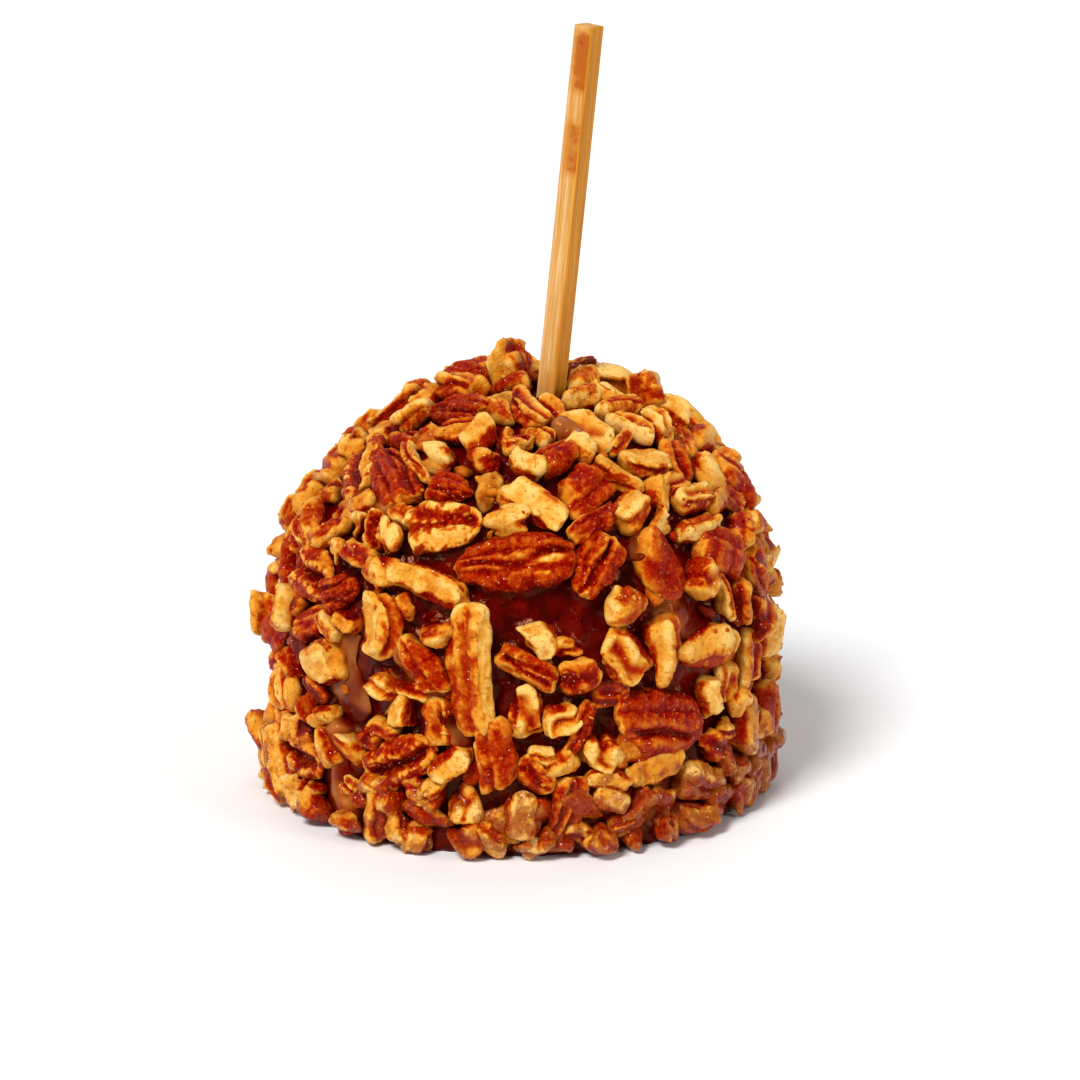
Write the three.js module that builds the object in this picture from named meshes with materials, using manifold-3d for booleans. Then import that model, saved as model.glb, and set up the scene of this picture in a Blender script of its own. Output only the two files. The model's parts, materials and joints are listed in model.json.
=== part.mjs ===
// A caramel apple rolled in chopped pecans, on a square bamboo stick.
// Millimetres, +Z up. The apple stands on its flat caramel foot, and the shown side faces -Y.
//
// Places on the apple are given as on a globe whose centre is the middle of its widest ring:
// the azimuth is 0 at the front and grows to the right, and the latitude is 90 at the stick.

import * as THREE from "three";
import { mergeVertices } from "three/addons/utils/BufferGeometryUtils.js";
import Module from "manifold-3d";

const wasm = await Module();
wasm.setup();

// ---- Driving dimensions ----

const CARAMEL_RADIUS = 43; // the dipped apple at its widest ring
const RING_HEIGHT = 32; // height of that ring above the table
const CARAMEL_TOP = 73.5; // height of the caramel at the stick
const FOOT_RADIUS = 44; // flat foot where the caramel settled and spread
const LEAN = 3.5; // how far the top stands to the right of the foot
const NUT_LAYER = 5.5; // from the caramel to the backs of the large pecans
const CRUMB_BED = 1; // layer of caramel and crumbs that the pieces lie in
const CRUMB_RISE = 3.6; // how far the small pieces rise above that bed
const FIT_GAP = 0.3; // air left between neighbouring solids

const STICK_WIDTH = 4;
const STICK_LENGTH = 114;
const STICK_BURIED = 44.5; // length of the stick inside the apple
const STICK_CORNER = 0.45; // rounded edge of the stick, as a flat
const STICK_TWIST = -36; // degrees about its own length
const STICK_LEAN_RIGHT = 5.8; // degrees
const STICK_LEAN_BACK = 3; // degrees
const STICK_FOOT = new THREE.Vector3(5.9, -2, CARAMEL_TOP); // where it leaves the caramel

const CRUST_DETAIL = 10; // subdivisions of each edge of the icosahedron under the crust
const CRUST_LUMPS = 380; // places for the small pieces that the crust stands for
const LUMP_LENGTH = [8, 13]; // least and most
const LUMP_WIDTH = [5.6, 8];
const LUMPS_END = -0.78; // sine of the lowest latitude with small pieces
const CLEAR_OF_PECAN = 0.3; // from a small piece's middle to a large one's edge

const ROD_SIDES = 8; // faces round a pecan solid
const ROD_RINGS = 3; // bands along it
const END_ROUNDING = 0.72; // 1 would bring its ends to a point
const BOW = 0.18; // most sideways bend, as a share of the width
const LOPSIDED = 0.35; // most that one end is narrower, as a share of the form's taper
const KNOBS = 0.16; // swelling of its sides, as a share of the width
const GROOVE_WIDTH = 0.4; // as a share of half the width
const DROOP = 0.05; // how far its ends hang, as a share of half the thickness
const PECAN_DEPTH = 3; // from the caramel to the middle of a large pecan
const SIDE_TILT = 0.35; // how much of their slope the pecans below the ring keep

const AWAY_COUNT = 11; // large pecans on the side that faces away
const AWAY_FROM = 108; // azimuth where that side starts
const AWAY_SPAN = 144;
const AWAY_SINES = [-0.42, 0.92]; // sines of its lowest and highest latitude
const AWAY_REACH = [6, 11]; // half-length of a pecan there, in degrees
const AWAY_WIDTH = [7.5, 11.5];
const GOLDEN_SHARE = (Math.sqrt(5) - 1) / 2;
const GOLDEN_ANGLE = Math.PI * (3 - Math.sqrt(5));

const CENTRE = new THREE.Vector3(0, 0, RING_HEIGHT);
const UP = new THREE.Vector3(0, 0, 1);

// Places where the caramel is bare: [azimuth, latitude, half-width, half-height] in degrees.
const BARE = [
  [3, 19, 15, 7],
  [40, 11, 8, 8],
  [-42, -4, 7, 9],
  [-46, -30, 6, 7],
];

// The large pecans of the shown side and its edges. Each lies from one place to another:
// [form, azimuth, latitude, azimuth, latitude, width, how far it stands out over the others].
// Where two meet, the later one is cut round the earlier one.
const SHOWN = [
  ["half", -19, 27, 12, 31, 10.5, 0.5],
  ["half", 21, -10, 46, -13, 13.5, 0.5],
  ["kernel", -12, 20, -11, -11, 8.5, 0.5],
  ["lobe", -68, 50, -41, 39, 9, 0],
  ["half", -80, 63, -38, 70, 8, 0],
  ["kernel", -36, 33, -14, 38, 10, 0],
  ["bowl", -37, -25, -20, -12, 10, 0],
  ["bowl", -71, 16, -54, 16, 11, 0],
  ["nib", 32, 31, 43, 20, 12.5, 0],
  ["lobe", 21, 35, 14, 21, 9, 0],
  ["half", 8, 43, 25, 49, 9, 0],
  ["kernel", 19, 11, 28, 0, 9, -0.5],
  ["kernel", -39, 19, -32, 5, 9, 0],
  ["lobe", -28, 11, -17, -1, 5.5, 0],
  ["lobe", -6, 8, 8, 2, 5.5, -0.5],
  ["kernel", -9, 49, 8, 37, 7.5, 0],
  ["nib", -13, 34, -2, 42, 8, -0.5],
  ["lobe", 0, 52, 17, 59, 6.5, 0],
  ["kernel", 23, 54, 35, 43, 5.5, 0],
  ["kernel", 38, 55, 53, 48, 8, 0],
  ["half", 15, 70, 38, 59, 9, 0],
  ["kernel", -45, 80, 3, 67, 6.5, 0],
  ["kernel", 39, 0, 56, 4, 9.5, 0],
  ["kernel", 34, 14, 37, -2, 7.5, -0.5],
  ["lobe", 50, 29, 62, 19, 9, 0],
  ["kernel", -58, -4, -46, 1, 9, 0],
  ["bowl", -60, -18, -53, -30, 10, 0],
  ["nib", -92, -22, -86, -32, 9, 2.5],
  ["kernel", -76, -20, -63, -36, 8, 0.5],
  ["kernel", -92, 4, -90, -6, 6.5, 2.8],
  ["lobe", -6, -6, -3, -23, 7.5, 0],
  ["kernel", 3, -21, -1, -32, 7, 0.5],
  ["nib", 16, -12, 21, -19, 8, 0.5],
  ["bowl", 0, 1, 1, -11, 8, -0.5],
  ["nib", 62, -28, 78, -28, 9, 0.5],
  ["lobe", 80, -13, 70, -23, 9, 0.5],
  ["lobe", 84, 42, 88, 28, 8, 0],
  ["lobe", 70, 21, 78, 6, 8, 0],
  ["nib", 70, 46, 77, 36, 9, 0],
  ["bowl", -84, 47, -62, 38, 10, 0],
  ["nib", -165, 80, -110, 79, 6.5, 5],
  ["nib", 93, 68, 108, 59, 9, 3],
  ["kernel", 86, -23, 84, -33, 9, 2],
  ["kernel", -108, 66, -88, 76, 7.5, 2],
  ["kernel", -36, 24, -14, 21, 6.5, 0],
  ["lobe", -150, 70, -118, 64, 9, 1.5],
  ["kernel", -112, 60, -98, 48, 9, 1.5],
];

const FINISHES = {
  caramel: { color: 0x7a1f06, roughness: 0.2 },
  skin: { color: 0xa43811, roughness: 0.5 },
  kernel: { color: 0xf0a446, roughness: 0.55 },
  bamboo: { color: 0xd7983a, roughness: 0.6 },
};

// ---- The apple's globe ----

// A repeatable number between two others, for one trait of a numbered piece.
function between(index, trait, low, high) {
  const word = [...trait].reduce((sum, letter) => (sum * 31 + letter.charCodeAt(0)) % 1013, 7);
  const wave = Math.sin(index * 127.1 + word * 311.7) * 43758.5453;
  return low + (high - low) * (wave - Math.floor(wave));
}

function heading(azimuth, latitude) {
  const a = THREE.MathUtils.degToRad(azimuth);
  const l = THREE.MathUtils.degToRad(latitude);
  return new THREE.Vector3(Math.sin(a) * Math.cos(l), -Math.cos(a) * Math.cos(l), Math.sin(l));
}

// Distance from the centre to the caramel: half an ellipse above the ring, and below it a wall
// that swells gently to the rim of the foot.
const UPPER_AXIS = CARAMEL_TOP - RING_HEIGHT;

function caramelReach(direction) {
  const flat = Math.hypot(direction.x, direction.y);
  if (direction.z > 0) return 1 / Math.hypot(flat / CARAMEL_RADIUS, direction.z / UPPER_AXIS);
  const down = Math.min(1, (-direction.z / flat) * (CARAMEL_RADIUS / RING_HEIGHT));
  return (CARAMEL_RADIUS + (FOOT_RADIUS - CARAMEL_RADIUS) * down ** 2) / flat;
}

// The point at a height over the caramel, on the leaning apple and never below the table.
function place(direction, height) {
  const toTable = direction.z < 0 ? -RING_HEIGHT / direction.z : Infinity;
  const reach = Math.min(caramelReach(direction) + height, toTable);
  const point = CENTRE.clone().addScaledVector(direction, reach);
  point.x += LEAN * (point.z / CARAMEL_TOP) ** 2;
  return point;
}

// ---- Solids ----

function solidOf(geometry) {
  const bare = geometry.clone();
  bare.deleteAttribute("normal");
  bare.deleteAttribute("uv");
  const merged = mergeVertices(bare, 1e-4);
  return new wasm.Manifold(
    new wasm.Mesh({
      numProp: 3,
      vertProperties: merged.attributes.position.array,
      triVerts: new Uint32Array(merged.index.array),
    }),
  );
}

function geometryOf(solid) {
  const mesh = solid.getMesh();
  const positions = new Float32Array(mesh.numVert * 3);
  for (let i = 0; i < mesh.numVert; i++) {
    positions.set(mesh.vertProperties.subarray(i * mesh.numProp, i * mesh.numProp + 3), i * 3);
  }
  const geometry = new THREE.BufferGeometry();
  geometry.setAttribute("position", new THREE.BufferAttribute(positions, 3));
  geometry.setIndex(new THREE.BufferAttribute(new Uint32Array(mesh.triVerts), 1));
  geometry.computeVertexNormals();
  return geometry;
}

function moveVertices(geometry, move) {
  const positions = geometry.attributes.position;
  const point = new THREE.Vector3();
  for (let i = 0; i < positions.count; i++) {
    point.fromBufferAttribute(positions, i);
    move(point);
    positions.setXYZ(i, point.x, point.y, point.z);
  }
  return geometry;
}

function largestPiece(solid) {
  return solid.decompose().reduce((a, b) => (a.volume() > b.volume() ? a : b));
}

// ---- Where the large pecans lie ----

// On the side that faces away the large pecans are spread by the golden ratio.
function awayRow(index) {
  const forms = ["half", "kernel", "lobe", "nib", "bowl", "kernel"];
  const [lowest, highest] = AWAY_SINES;
  const sine = lowest + ((highest - lowest) * (index + 0.5)) / AWAY_COUNT;
  const latitude = THREE.MathUtils.radToDeg(Math.asin(sine));
  const azimuth = AWAY_FROM + AWAY_SPAN * ((index * GOLDEN_SHARE + 0.2) % 1);
  const reach = between(index, "reach", ...AWAY_REACH);
  const turn = between(index, "turn", 0, Math.PI);
  const rise = reach * Math.sin(turn);
  const run = (reach * Math.cos(turn)) / Math.sqrt(1 - sine * sine);
  const width = between(index, "width", ...AWAY_WIDTH);
  const form = forms[index % forms.length];
  return [form, azimuth - run, latitude - rise, azimuth + run, latitude + rise, width, 0];
}

const LARGE = [...SHOWN, ...Array.from({ length: AWAY_COUNT }, (_, i) => awayRow(i))];

// ---- The crust of caramel and small pieces ----

// True where a large pecan lies, so that no small piece is under it.
function underPecan(direction) {
  return LARGE.some(([, azimuthA, latitudeA, azimuthB, latitudeB, width]) => {
    const line = new THREE.Line3(heading(azimuthA, latitudeA), heading(azimuthB, latitudeB));
    const nearest = line.closestPointToPoint(direction, true, new THREE.Vector3());
    return nearest.distanceTo(direction) * CARAMEL_RADIUS < width / 2 + CLEAR_OF_PECAN;
  });
}

// Each lump is a small pecan piece: a long low mound at an angle of its own.
function smallPiece(index) {
  const z = 1 - ((1 - LUMPS_END) * (index + 0.5)) / CRUST_LUMPS;
  const turn = index * GOLDEN_ANGLE + between(index, "shift", 0, 0.3);
  const out = new THREE.Vector3(Math.cos(turn), Math.sin(turn), 0)
    .multiplyScalar(Math.sqrt(1 - z * z))
    .setZ(z);
  const side = new THREE.Vector3().crossVectors(UP, out).normalize();
  const along = side.applyAxisAngle(out, between(index, "turn", 0, Math.PI));
  return {
    out,
    along,
    across: new THREE.Vector3().crossVectors(out, along),
    halfLength: between(index, "length", ...LUMP_LENGTH) / 2,
    halfWidth: between(index, "width", ...LUMP_WIDTH) / 2,
    rise: between(index, "rise", 0.6, 1.1) * CRUMB_RISE,
  };
}

function azimuthOf(direction) {
  return THREE.MathUtils.radToDeg(Math.atan2(direction.x, -direction.y));
}

// 0 in the middle of a bare place, and 1 outside them all.
function covered(direction) {
  const azimuth = azimuthOf(direction);
  const latitude = THREE.MathUtils.radToDeg(Math.asin(direction.z));
  const nearest = BARE.map(([a, l, halfWidth, halfHeight]) =>
    Math.hypot((azimuth - a) / halfWidth, (latitude - l) / halfHeight),
  );
  return THREE.MathUtils.smoothstep(Math.min(...nearest), 0.75, 1.2);
}

const lumps = Array.from({ length: CRUST_LUMPS }, (_, i) => smallPiece(i)).filter(
  (lump) => !underPecan(lump.out),
);

function crustHeight(direction) {
  let rise = 0;
  for (const lump of lumps) {
    if (lump.out.dot(direction) < 0) continue;
    const u = (direction.dot(lump.along) * CARAMEL_RADIUS) / lump.halfLength;
    const v = (direction.dot(lump.across) * CARAMEL_RADIUS) / lump.halfWidth;
    rise = Math.max(rise, lump.rise * (1 - u * u - v * v));
  }
  return CRUMB_BED + rise * covered(direction);
}

function crust(extra) {
  const globe = new THREE.IcosahedronGeometry(1, CRUST_DETAIL);
  moveVertices(globe, (point) => {
    const direction = point.clone().normalize();
    point.copy(place(direction, crustHeight(direction) + extra));
  });
  return solidOf(globe);
}

// ---- The stick ----

function stickSolid(clearance) {
  const half = STICK_WIDTH / 2 + clearance;
  const inner = half - STICK_CORNER;
  const section = new THREE.Shape();
  section.moveTo(-inner, -half);
  section.lineTo(inner, -half);
  section.lineTo(half, -inner);
  section.lineTo(half, inner);
  section.lineTo(inner, half);
  section.lineTo(-inner, half);
  section.lineTo(-half, inner);
  section.lineTo(-half, -inner);
  section.closePath();
  const stick = new THREE.ExtrudeGeometry(section, {
    depth: STICK_LENGTH + 2 * clearance,
    steps: 1,
    bevelEnabled: false,
  });
  stick.translate(0, 0, -STICK_BURIED - clearance);
  stick.rotateZ(THREE.MathUtils.degToRad(STICK_TWIST));
  stick.rotateX(THREE.MathUtils.degToRad(-STICK_LEAN_BACK));
  stick.rotateY(THREE.MathUtils.degToRad(STICK_LEAN_RIGHT));
  stick.translate(STICK_FOOT.x, STICK_FOOT.y, STICK_FOOT.z);
  return solidOf(stick);
}

// ---- The large pecans ----

// How each form departs from a plain rounded rod: its thickness as a share of its width, the
// depth of the groove along its back as a share of its thickness, how much its ends narrow, and
// which finish faces out.
const FORMS = {
  half: { thick: 0.68, groove: 0.45, taper: 0.4, finish: "skin" },
  bowl: { thick: 0.7, groove: 0.75, taper: 0.3, finish: "skin" },
  lobe: { thick: 0.85, groove: 0, taper: 0.5, finish: "skin" },
  kernel: { thick: 0.8, groove: 0.18, taper: 0.4, finish: "kernel" },
  nib: { thick: 0.8, groove: 0, taper: 0.3, finish: "kernel" },
};

// A rod along X with its back towards +Z, rounded at both ends, bent and uneven.
function pecanRod(form, length, width, index, grow) {
  const { thick, groove, taper } = FORMS[form];
  const rod = new THREE.CylinderGeometry(1, 1, 1, ROD_SIDES, ROD_RINGS);
  rod.rotateZ(Math.PI / 2);
  rod.rotateX(Math.PI / 2);
  const bow = between(index, "bow", -BOW, BOW) * width;
  const lopsided = between(index, "narrow end", -LOPSIDED, LOPSIDED);
  const knobPhase = between(index, "knobs", 0, 2 * Math.PI);
  return moveVertices(rod, (point) => {
    const t = 2 * point.x;
    const round = Math.sqrt(1 - END_ROUNDING * t ** 4);
    const girth = round * (1 - taper * Math.max(0, t * lopsided));
    const knob = 1 + KNOBS * Math.sin(Math.PI * t + knobPhase) * Math.sign(point.y);
    const dip = point.z > 0 ? groove * Math.exp(-((point.y / GROOVE_WIDTH) ** 2)) : 0;
    point.x = t * (length / 2 + grow);
    point.y = point.y * (width / 2 + grow) * girth * knob + bow * t * t;
    point.z = (point.z * (1 - dip) * girth - DROOP * t * t) * ((width * thick) / 2 + grow);
  });
}

// Lays a rod on the apple from one point to another, with its middle at a height over the nuts.
function seat(geometry, from, to, height) {
  const along = new THREE.Vector3().subVectors(to, from).normalize();
  const middle = new THREE.Vector3().addVectors(from, to).multiplyScalar(0.5);
  const out = new THREE.Vector3().subVectors(middle, CENTRE);
  out.z = out.z < 0 ? out.z * SIDE_TILT : out.z;
  out.addScaledVector(along, -out.dot(along)).normalize();
  const across = new THREE.Vector3().crossVectors(out, along);
  const middleOnCoat = place(middle.clone().sub(CENTRE).normalize(), NUT_LAYER);
  const seatPoint = middleOnCoat.addScaledVector(out, height);
  geometry.applyMatrix4(new THREE.Matrix4().makeBasis(along, across, out).setPosition(seatPoint));
  return geometry;
}

function pecanSolid(row, index, grow) {
  const [form, azimuthA, latitudeA, azimuthB, latitudeB, width, stand] = row;
  const reach = CARAMEL_RADIUS + PECAN_DEPTH;
  const from = CENTRE.clone().addScaledVector(heading(azimuthA, latitudeA), reach);
  const to = CENTRE.clone().addScaledVector(heading(azimuthB, latitudeB), reach);
  const halfThick = (width * FORMS[form].thick) / 2;
  const rod = pecanRod(form, from.distanceTo(to), width, index, grow);
  return solidOf(seat(rod, from, to, stand - halfThick));
}

// ---- Assembly ----

const finishes = {};
for (const [name, { color, roughness }] of Object.entries(FINISHES)) {
  finishes[name] = new THREE.MeshStandardMaterial({
    name,
    color,
    roughness,
    metalness: 0,
    flatShading: true,
  });
}

function meshOf(name, solid, finish) {
  const mesh = new THREE.Mesh(geometryOf(solid), finishes[finish]);
  mesh.name = name;
  return mesh;
}

const apple = new THREE.Group();
const tableSide = 4 * CARAMEL_RADIUS;
const table = new THREE.BoxGeometry(tableSide, tableSide, RING_HEIGHT);
table.translate(0, 0, FIT_GAP - RING_HEIGHT / 2);
const stickHole = stickSolid(FIT_GAP);

apple.add(meshOf("caramel_apple", crust(0).subtract(stickHole), "caramel"));
apple.add(meshOf("stick", stickSolid(0), "bamboo"));

// Each large pecan is cut round what lies under and beside it, with room to spare.
const taken = [crust(FIT_GAP), stickHole, solidOf(table)];
const counts = {};
LARGE.forEach((row, index) => {
  const form = row[0];
  const solid = taken.reduce((rest, other) => rest.subtract(other), pecanSolid(row, index, 0));
  taken.push(pecanSolid(row, index, FIT_GAP));
  counts[form] = (counts[form] ?? 0) + 1;
  const name = `pecan_${form}_${String(counts[form]).padStart(2, "0")}`;
  apple.add(meshOf(name, largestPiece(solid), FORMS[form].finish));
});

// The origin is under the middle of the whole object's box.
const box = new THREE.Box3().setFromObject(apple, true);
const middle = box.getCenter(new THREE.Vector3());
apple.position.set(-middle.x, -middle.y, 0);

export default apple;
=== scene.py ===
"""Looks of a caramel apple rolled in chopped pecans on a bamboo stick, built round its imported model.

The file is laid out as an add-on: the sizes and colours are property groups, each group of pieces
has an operator, and a panel in the 3D view's sidebar lists them. Run as a script, it makes the
whole apple. Pecans are shaped in millimetres, and their place in metres is given at the end.
"""

import json
import math
import random

import bmesh
import bpy
import numpy as np
from bpy.props import FloatProperty, FloatVectorProperty, IntProperty, PointerProperty
from mathutils import Matrix, Vector, noise
from mathutils.bvhtree import BVHTree
from mathutils.kdtree import KDTree

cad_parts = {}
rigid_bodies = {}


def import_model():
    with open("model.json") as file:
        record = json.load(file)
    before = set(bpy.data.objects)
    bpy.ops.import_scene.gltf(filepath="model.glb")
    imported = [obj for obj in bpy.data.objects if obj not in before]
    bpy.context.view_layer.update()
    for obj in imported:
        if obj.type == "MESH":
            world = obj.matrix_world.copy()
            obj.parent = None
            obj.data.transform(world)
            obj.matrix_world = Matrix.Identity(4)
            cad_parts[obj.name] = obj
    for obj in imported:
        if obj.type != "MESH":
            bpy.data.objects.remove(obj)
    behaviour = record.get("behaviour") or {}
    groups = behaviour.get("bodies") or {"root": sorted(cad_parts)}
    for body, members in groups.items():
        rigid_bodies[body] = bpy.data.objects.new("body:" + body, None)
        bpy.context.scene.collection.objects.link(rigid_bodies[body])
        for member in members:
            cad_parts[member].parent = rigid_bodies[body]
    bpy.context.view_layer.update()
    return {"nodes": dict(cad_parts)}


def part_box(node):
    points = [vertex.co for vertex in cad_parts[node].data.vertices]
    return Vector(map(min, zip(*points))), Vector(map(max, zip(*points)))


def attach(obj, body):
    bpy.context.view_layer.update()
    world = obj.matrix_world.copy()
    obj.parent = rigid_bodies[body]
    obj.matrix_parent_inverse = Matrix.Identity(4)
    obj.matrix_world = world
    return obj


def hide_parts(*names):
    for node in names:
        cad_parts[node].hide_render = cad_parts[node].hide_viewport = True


bl_info = {
    "name": "Caramel apple with pecans",
    "version": (1, 0, 0),
    "blender": (4, 5, 0),
    "location": "3D view > Sidebar > Caramel apple",
    "description": "Makes a caramel apple rolled in chopped pecans, on a bamboo stick",
    "category": "Object",
}

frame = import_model()

MM = 0.001
UP = Vector((0, 0, 1))
CRUST = "caramel_apple"
STICK = "stick"

# ---- What the frame says ----


def solid_parts(node):
    """The centres, areas and outward normals of a solid's faces, and its corners, in millimetres."""
    mesh = frame["nodes"][node].data
    faces = [(p.center / MM, p.area, p.normal.copy()) for p in mesh.polygons]
    corners = np.array([v.co / MM for v in mesh.vertices])
    centres, areas, normals = zip(*faces)
    return np.array(centres), np.array(areas), np.array(normals), corners


def main_direction(points, weights):
    """The direction in which weighted points spread the most, and their middle."""
    middle = np.average(points, axis=0, weights=weights)
    spread = points - middle
    _, vectors = np.linalg.eigh((spread * weights[:, None]).T @ spread)
    return Vector(vectors[:, 2]), Vector(middle)


def stick_frame():
    """The stick's middle, the way its right side faces, its length's direction, and both sizes."""
    centres, areas, normals, corners = solid_parts(STICK)
    along, middle = main_direction(centres, areas)
    if along.z < 0:
        along = -along
    sides = [(a, Vector(n)) for a, n in zip(areas, normals) if abs(Vector(n).dot(along)) < 0.1]
    widest = max(area for area, _ in sides)
    across = max((n for area, n in sides if area > 0.9 * widest), key=lambda n: n.x)
    length = np.ptp(corners @ np.array(along))
    width = np.ptp(corners @ np.array(across))
    return middle, across, along, float(length), float(width)


STICK_MIDDLE, STICK_ACROSS, STICK_ALONG, STICK_LENGTH, STICK_WIDTH = stick_frame()
STICK_BURIED = 44.5  # mm of the stick inside the apple
STICK_FOOT = STICK_MIDDLE + STICK_ALONG * (STICK_BURIED - STICK_LENGTH / 2)
CRUST_LOW, CRUST_HIGH = (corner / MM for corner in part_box(CRUST))

# The apple's axis is this far from the point where the stick leaves the caramel.
AXIS_FROM_STICK = Vector((-5.9, 2.0, 0.0))
CARAMEL_TOP = STICK_FOOT.z
RING_HEIGHT = 0.435 * CARAMEL_TOP  # where the apple is widest
GLOBE = Vector(((STICK_FOOT + AXIS_FROM_STICK).x, (STICK_FOOT + AXIS_FROM_STICK).y, RING_HEIGHT))
SMALL_RISE = 3.9  # mm that the crust's small pieces stand out of the caramel
CARAMEL_RADIUS = (CRUST_HIGH.x - CRUST_LOW.x) / 2 - SMALL_RISE
FOOT_FLARE = 1.0  # mm
FOOT_RADIUS = CARAMEL_RADIUS + FOOT_FLARE
LEAN = 3.5  # mm to the right at the top
UPPER_AXIS = CARAMEL_TOP - RING_HEIGHT

# Places where the caramel is bare: azimuth, latitude, half-width and half-height in degrees, as on
# a globe round the apple's widest ring, with azimuth 0 at the front.
BARE = (
    (3, 18, 15, 7),
    (40, 11, 8, 8),
    (-42, -4, 7, 9),
    (-46, -28, 5, 6),
    (-92, -15, 12, 7),
)

# Places where the caramel ran thick and looks milky, given in the same way. The pale milky colour on
# the caramel there is partly its own and partly a painted reflection of the soft lights.
MILKY_AND_REFLECTION = (
    (40, 12, 8, 9),
    (-44, -8, 5, 9),
    (-46, -26, 7, 10),
    (-20, 0, 9, 9),
    (56, -1, 9, 4),
    (-52, 37, 12, 5),
    (25, -27, 14, 7),
    (54, 41, 5, 6),
)


def heading(azimuth, latitude):
    a, l = math.radians(azimuth), math.radians(latitude)
    return Vector((math.sin(a) * math.cos(l), -math.cos(a) * math.cos(l), math.sin(l)))


def coat_point(direction, height=0.0):
    """The point at a height over the bare caramel, in millimetres, never below the table.

    It is half an ellipse above the widest ring, and below it a wall that swells to the foot.
    """
    level = math.hypot(direction.x, direction.y)
    if direction.z > 0:
        reach = 1 / math.hypot(level / CARAMEL_RADIUS, direction.z / UPPER_AXIS) + height
    else:
        fall = -direction.z / max(level, 1e-6)
        down = min(1.0, fall * CARAMEL_RADIUS / RING_HEIGHT)
        wall = CARAMEL_RADIUS + (FOOT_RADIUS - CARAMEL_RADIUS) * down**2
        reach = wall / max(level, 1e-6) + height
        if direction.z < 0:
            reach = min(reach, -RING_HEIGHT / direction.z)
    point = GLOBE + direction * reach
    point.x += LEAN * (point.z / CARAMEL_TOP) ** 2
    return point


def coat_normal(direction):
    """Straight out of the caramel: level on the upright lower side."""
    slope = (CARAMEL_RADIUS / UPPER_AXIS) ** 2 if direction.z > 0 else 0.0
    return Vector((direction.x, direction.y, direction.z * slope)).normalized()


def seeded(*words):
    return random.Random(" ".join(str(word) for word in words))


def smoothstep(low, high, value):
    t = np.clip((value - low) / (high - low), 0, 1)
    return t * t * (3 - 2 * t)


# ---- Meshes ----


def finish_piece(name, mesh, material, replaced):
    """Shows a mesh as a piece of the apple, in place of CAD nodes."""
    mesh.name = name
    mesh.shade_smooth()
    mesh.materials.clear()
    mesh.materials.append(material)
    piece = bpy.data.objects.new(name, mesh)
    bpy.context.scene.collection.objects.link(piece)
    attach(piece, "root")
    if replaced:
        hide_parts(*replaced)


def mesh_of(bm, name):
    mesh = bpy.data.meshes.new(name)
    bm.to_mesh(mesh)
    bm.free()
    return mesh


def corners_of(mesh):
    flat = np.zeros(len(mesh.vertices) * 3, np.float32)
    mesh.vertices.foreach_get("co", flat)
    return flat.reshape(-1, 3)


def set_trait(mesh, name, values):
    """A number or a vector on each vertex, which the materials read."""
    values = np.asarray(values, np.float32)
    kind, field = ("FLOAT", "value") if values.ndim == 1 else ("FLOAT_VECTOR", "vector")
    trait = mesh.attributes.get(name) or mesh.attributes.new(name, kind, "POINT")
    trait.data.foreach_set(field, values.ravel())


def joined(meshes, name):
    """One mesh of many, with their traits kept."""
    parts = []
    for mesh in meshes:
        part = bpy.data.objects.new("part", mesh)
        bpy.context.scene.collection.objects.link(part)
        parts.append(part)
    with bpy.context.temp_override(
        active_object=parts[0], object=parts[0],
        selected_editable_objects=parts, selected_objects=parts,
    ):
        bpy.ops.object.join()
    mesh = parts[0].data
    bpy.data.objects.remove(parts[0])
    mesh.name = name
    return mesh


# ---- The pecan kernel ----

# Sizes of a whole half in mm, and how much its width changes towards either end.
HALF_LENGTH = 28.0
HALF_WIDTH = 14.0
HALF_TAPER = 0.14
BACK_HEIGHT = 5.0
BELLY_HEIGHT = 3.6

# The back's two grooves and the belly's hollow: place off the middle, depth and half-width in mm.
GROOVE_PLACE, GROOVE_DEPTH, GROOVE_WIDTH = 2.5, 1.8, 0.85
HOLLOW_DEPTH, HOLLOW_WIDTH = 3.2, 2.0


def whole_half():
    """One half of a pecan kernel in millimetres: X along it, Z out through its ridged back."""
    bm = bmesh.new()
    bmesh.ops.create_uvsphere(bm, u_segments=112, v_segments=84, radius=1)
    bmesh.ops.rotate(bm, verts=bm.verts, matrix=Matrix.Rotation(math.pi / 2, 3, "Y"))
    for vert in bm.verts:
        t, side, rise = vert.co
        fade = 1 - t**4
        x = HALF_LENGTH / 2 * t
        y = HALF_WIDTH / 2 * side * (1 - HALF_TAPER * t)
        wander = 0.5 * noise.noise(Vector((x * 0.15, 3.1, 0)))
        if rise > 0:
            z = BACK_HEIGHT * rise
            groove = (GROOVE_PLACE + wander) * (1 - 0.45 * t * t)
            z -= GROOVE_DEPTH * fade * math.exp(-(((abs(y) - groove) / GROOVE_WIDTH) ** 2))
        else:
            z = BELLY_HEIGHT * rise
            z += HOLLOW_DEPTH * fade * math.exp(-(((y - wander) / HOLLOW_WIDTH) ** 2))
        # Each side swells and narrows along its length, like knuckles.
        knuckle = math.sin(x * 0.95 + 2.2 * math.copysign(1, y)) * fade
        wrinkle = 0.45 * noise.noise(Vector((x * 0.3, y * 0.4, z * 0.4)))
        wrinkle += 0.2 * noise.noise(Vector((x * 0.9, y * 0.8, z * 0.8)))
        wrinkle += 0.15 * knuckle * abs(side)
        vert.co = Vector((x, y + 0.22 * knuckle * side, z)) + Vector((0, side, rise)) * wrinkle
    bmesh.ops.recalc_face_normals(bm, faces=bm.faces)
    return bm


class Kernel:
    """The whole half that every piece is chopped from."""

    def __init__(self):
        bm = whole_half()
        self.surface = BVHTree.FromBMesh(bm)
        self.mesh = mesh_of(bm, "kernel half")


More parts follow.
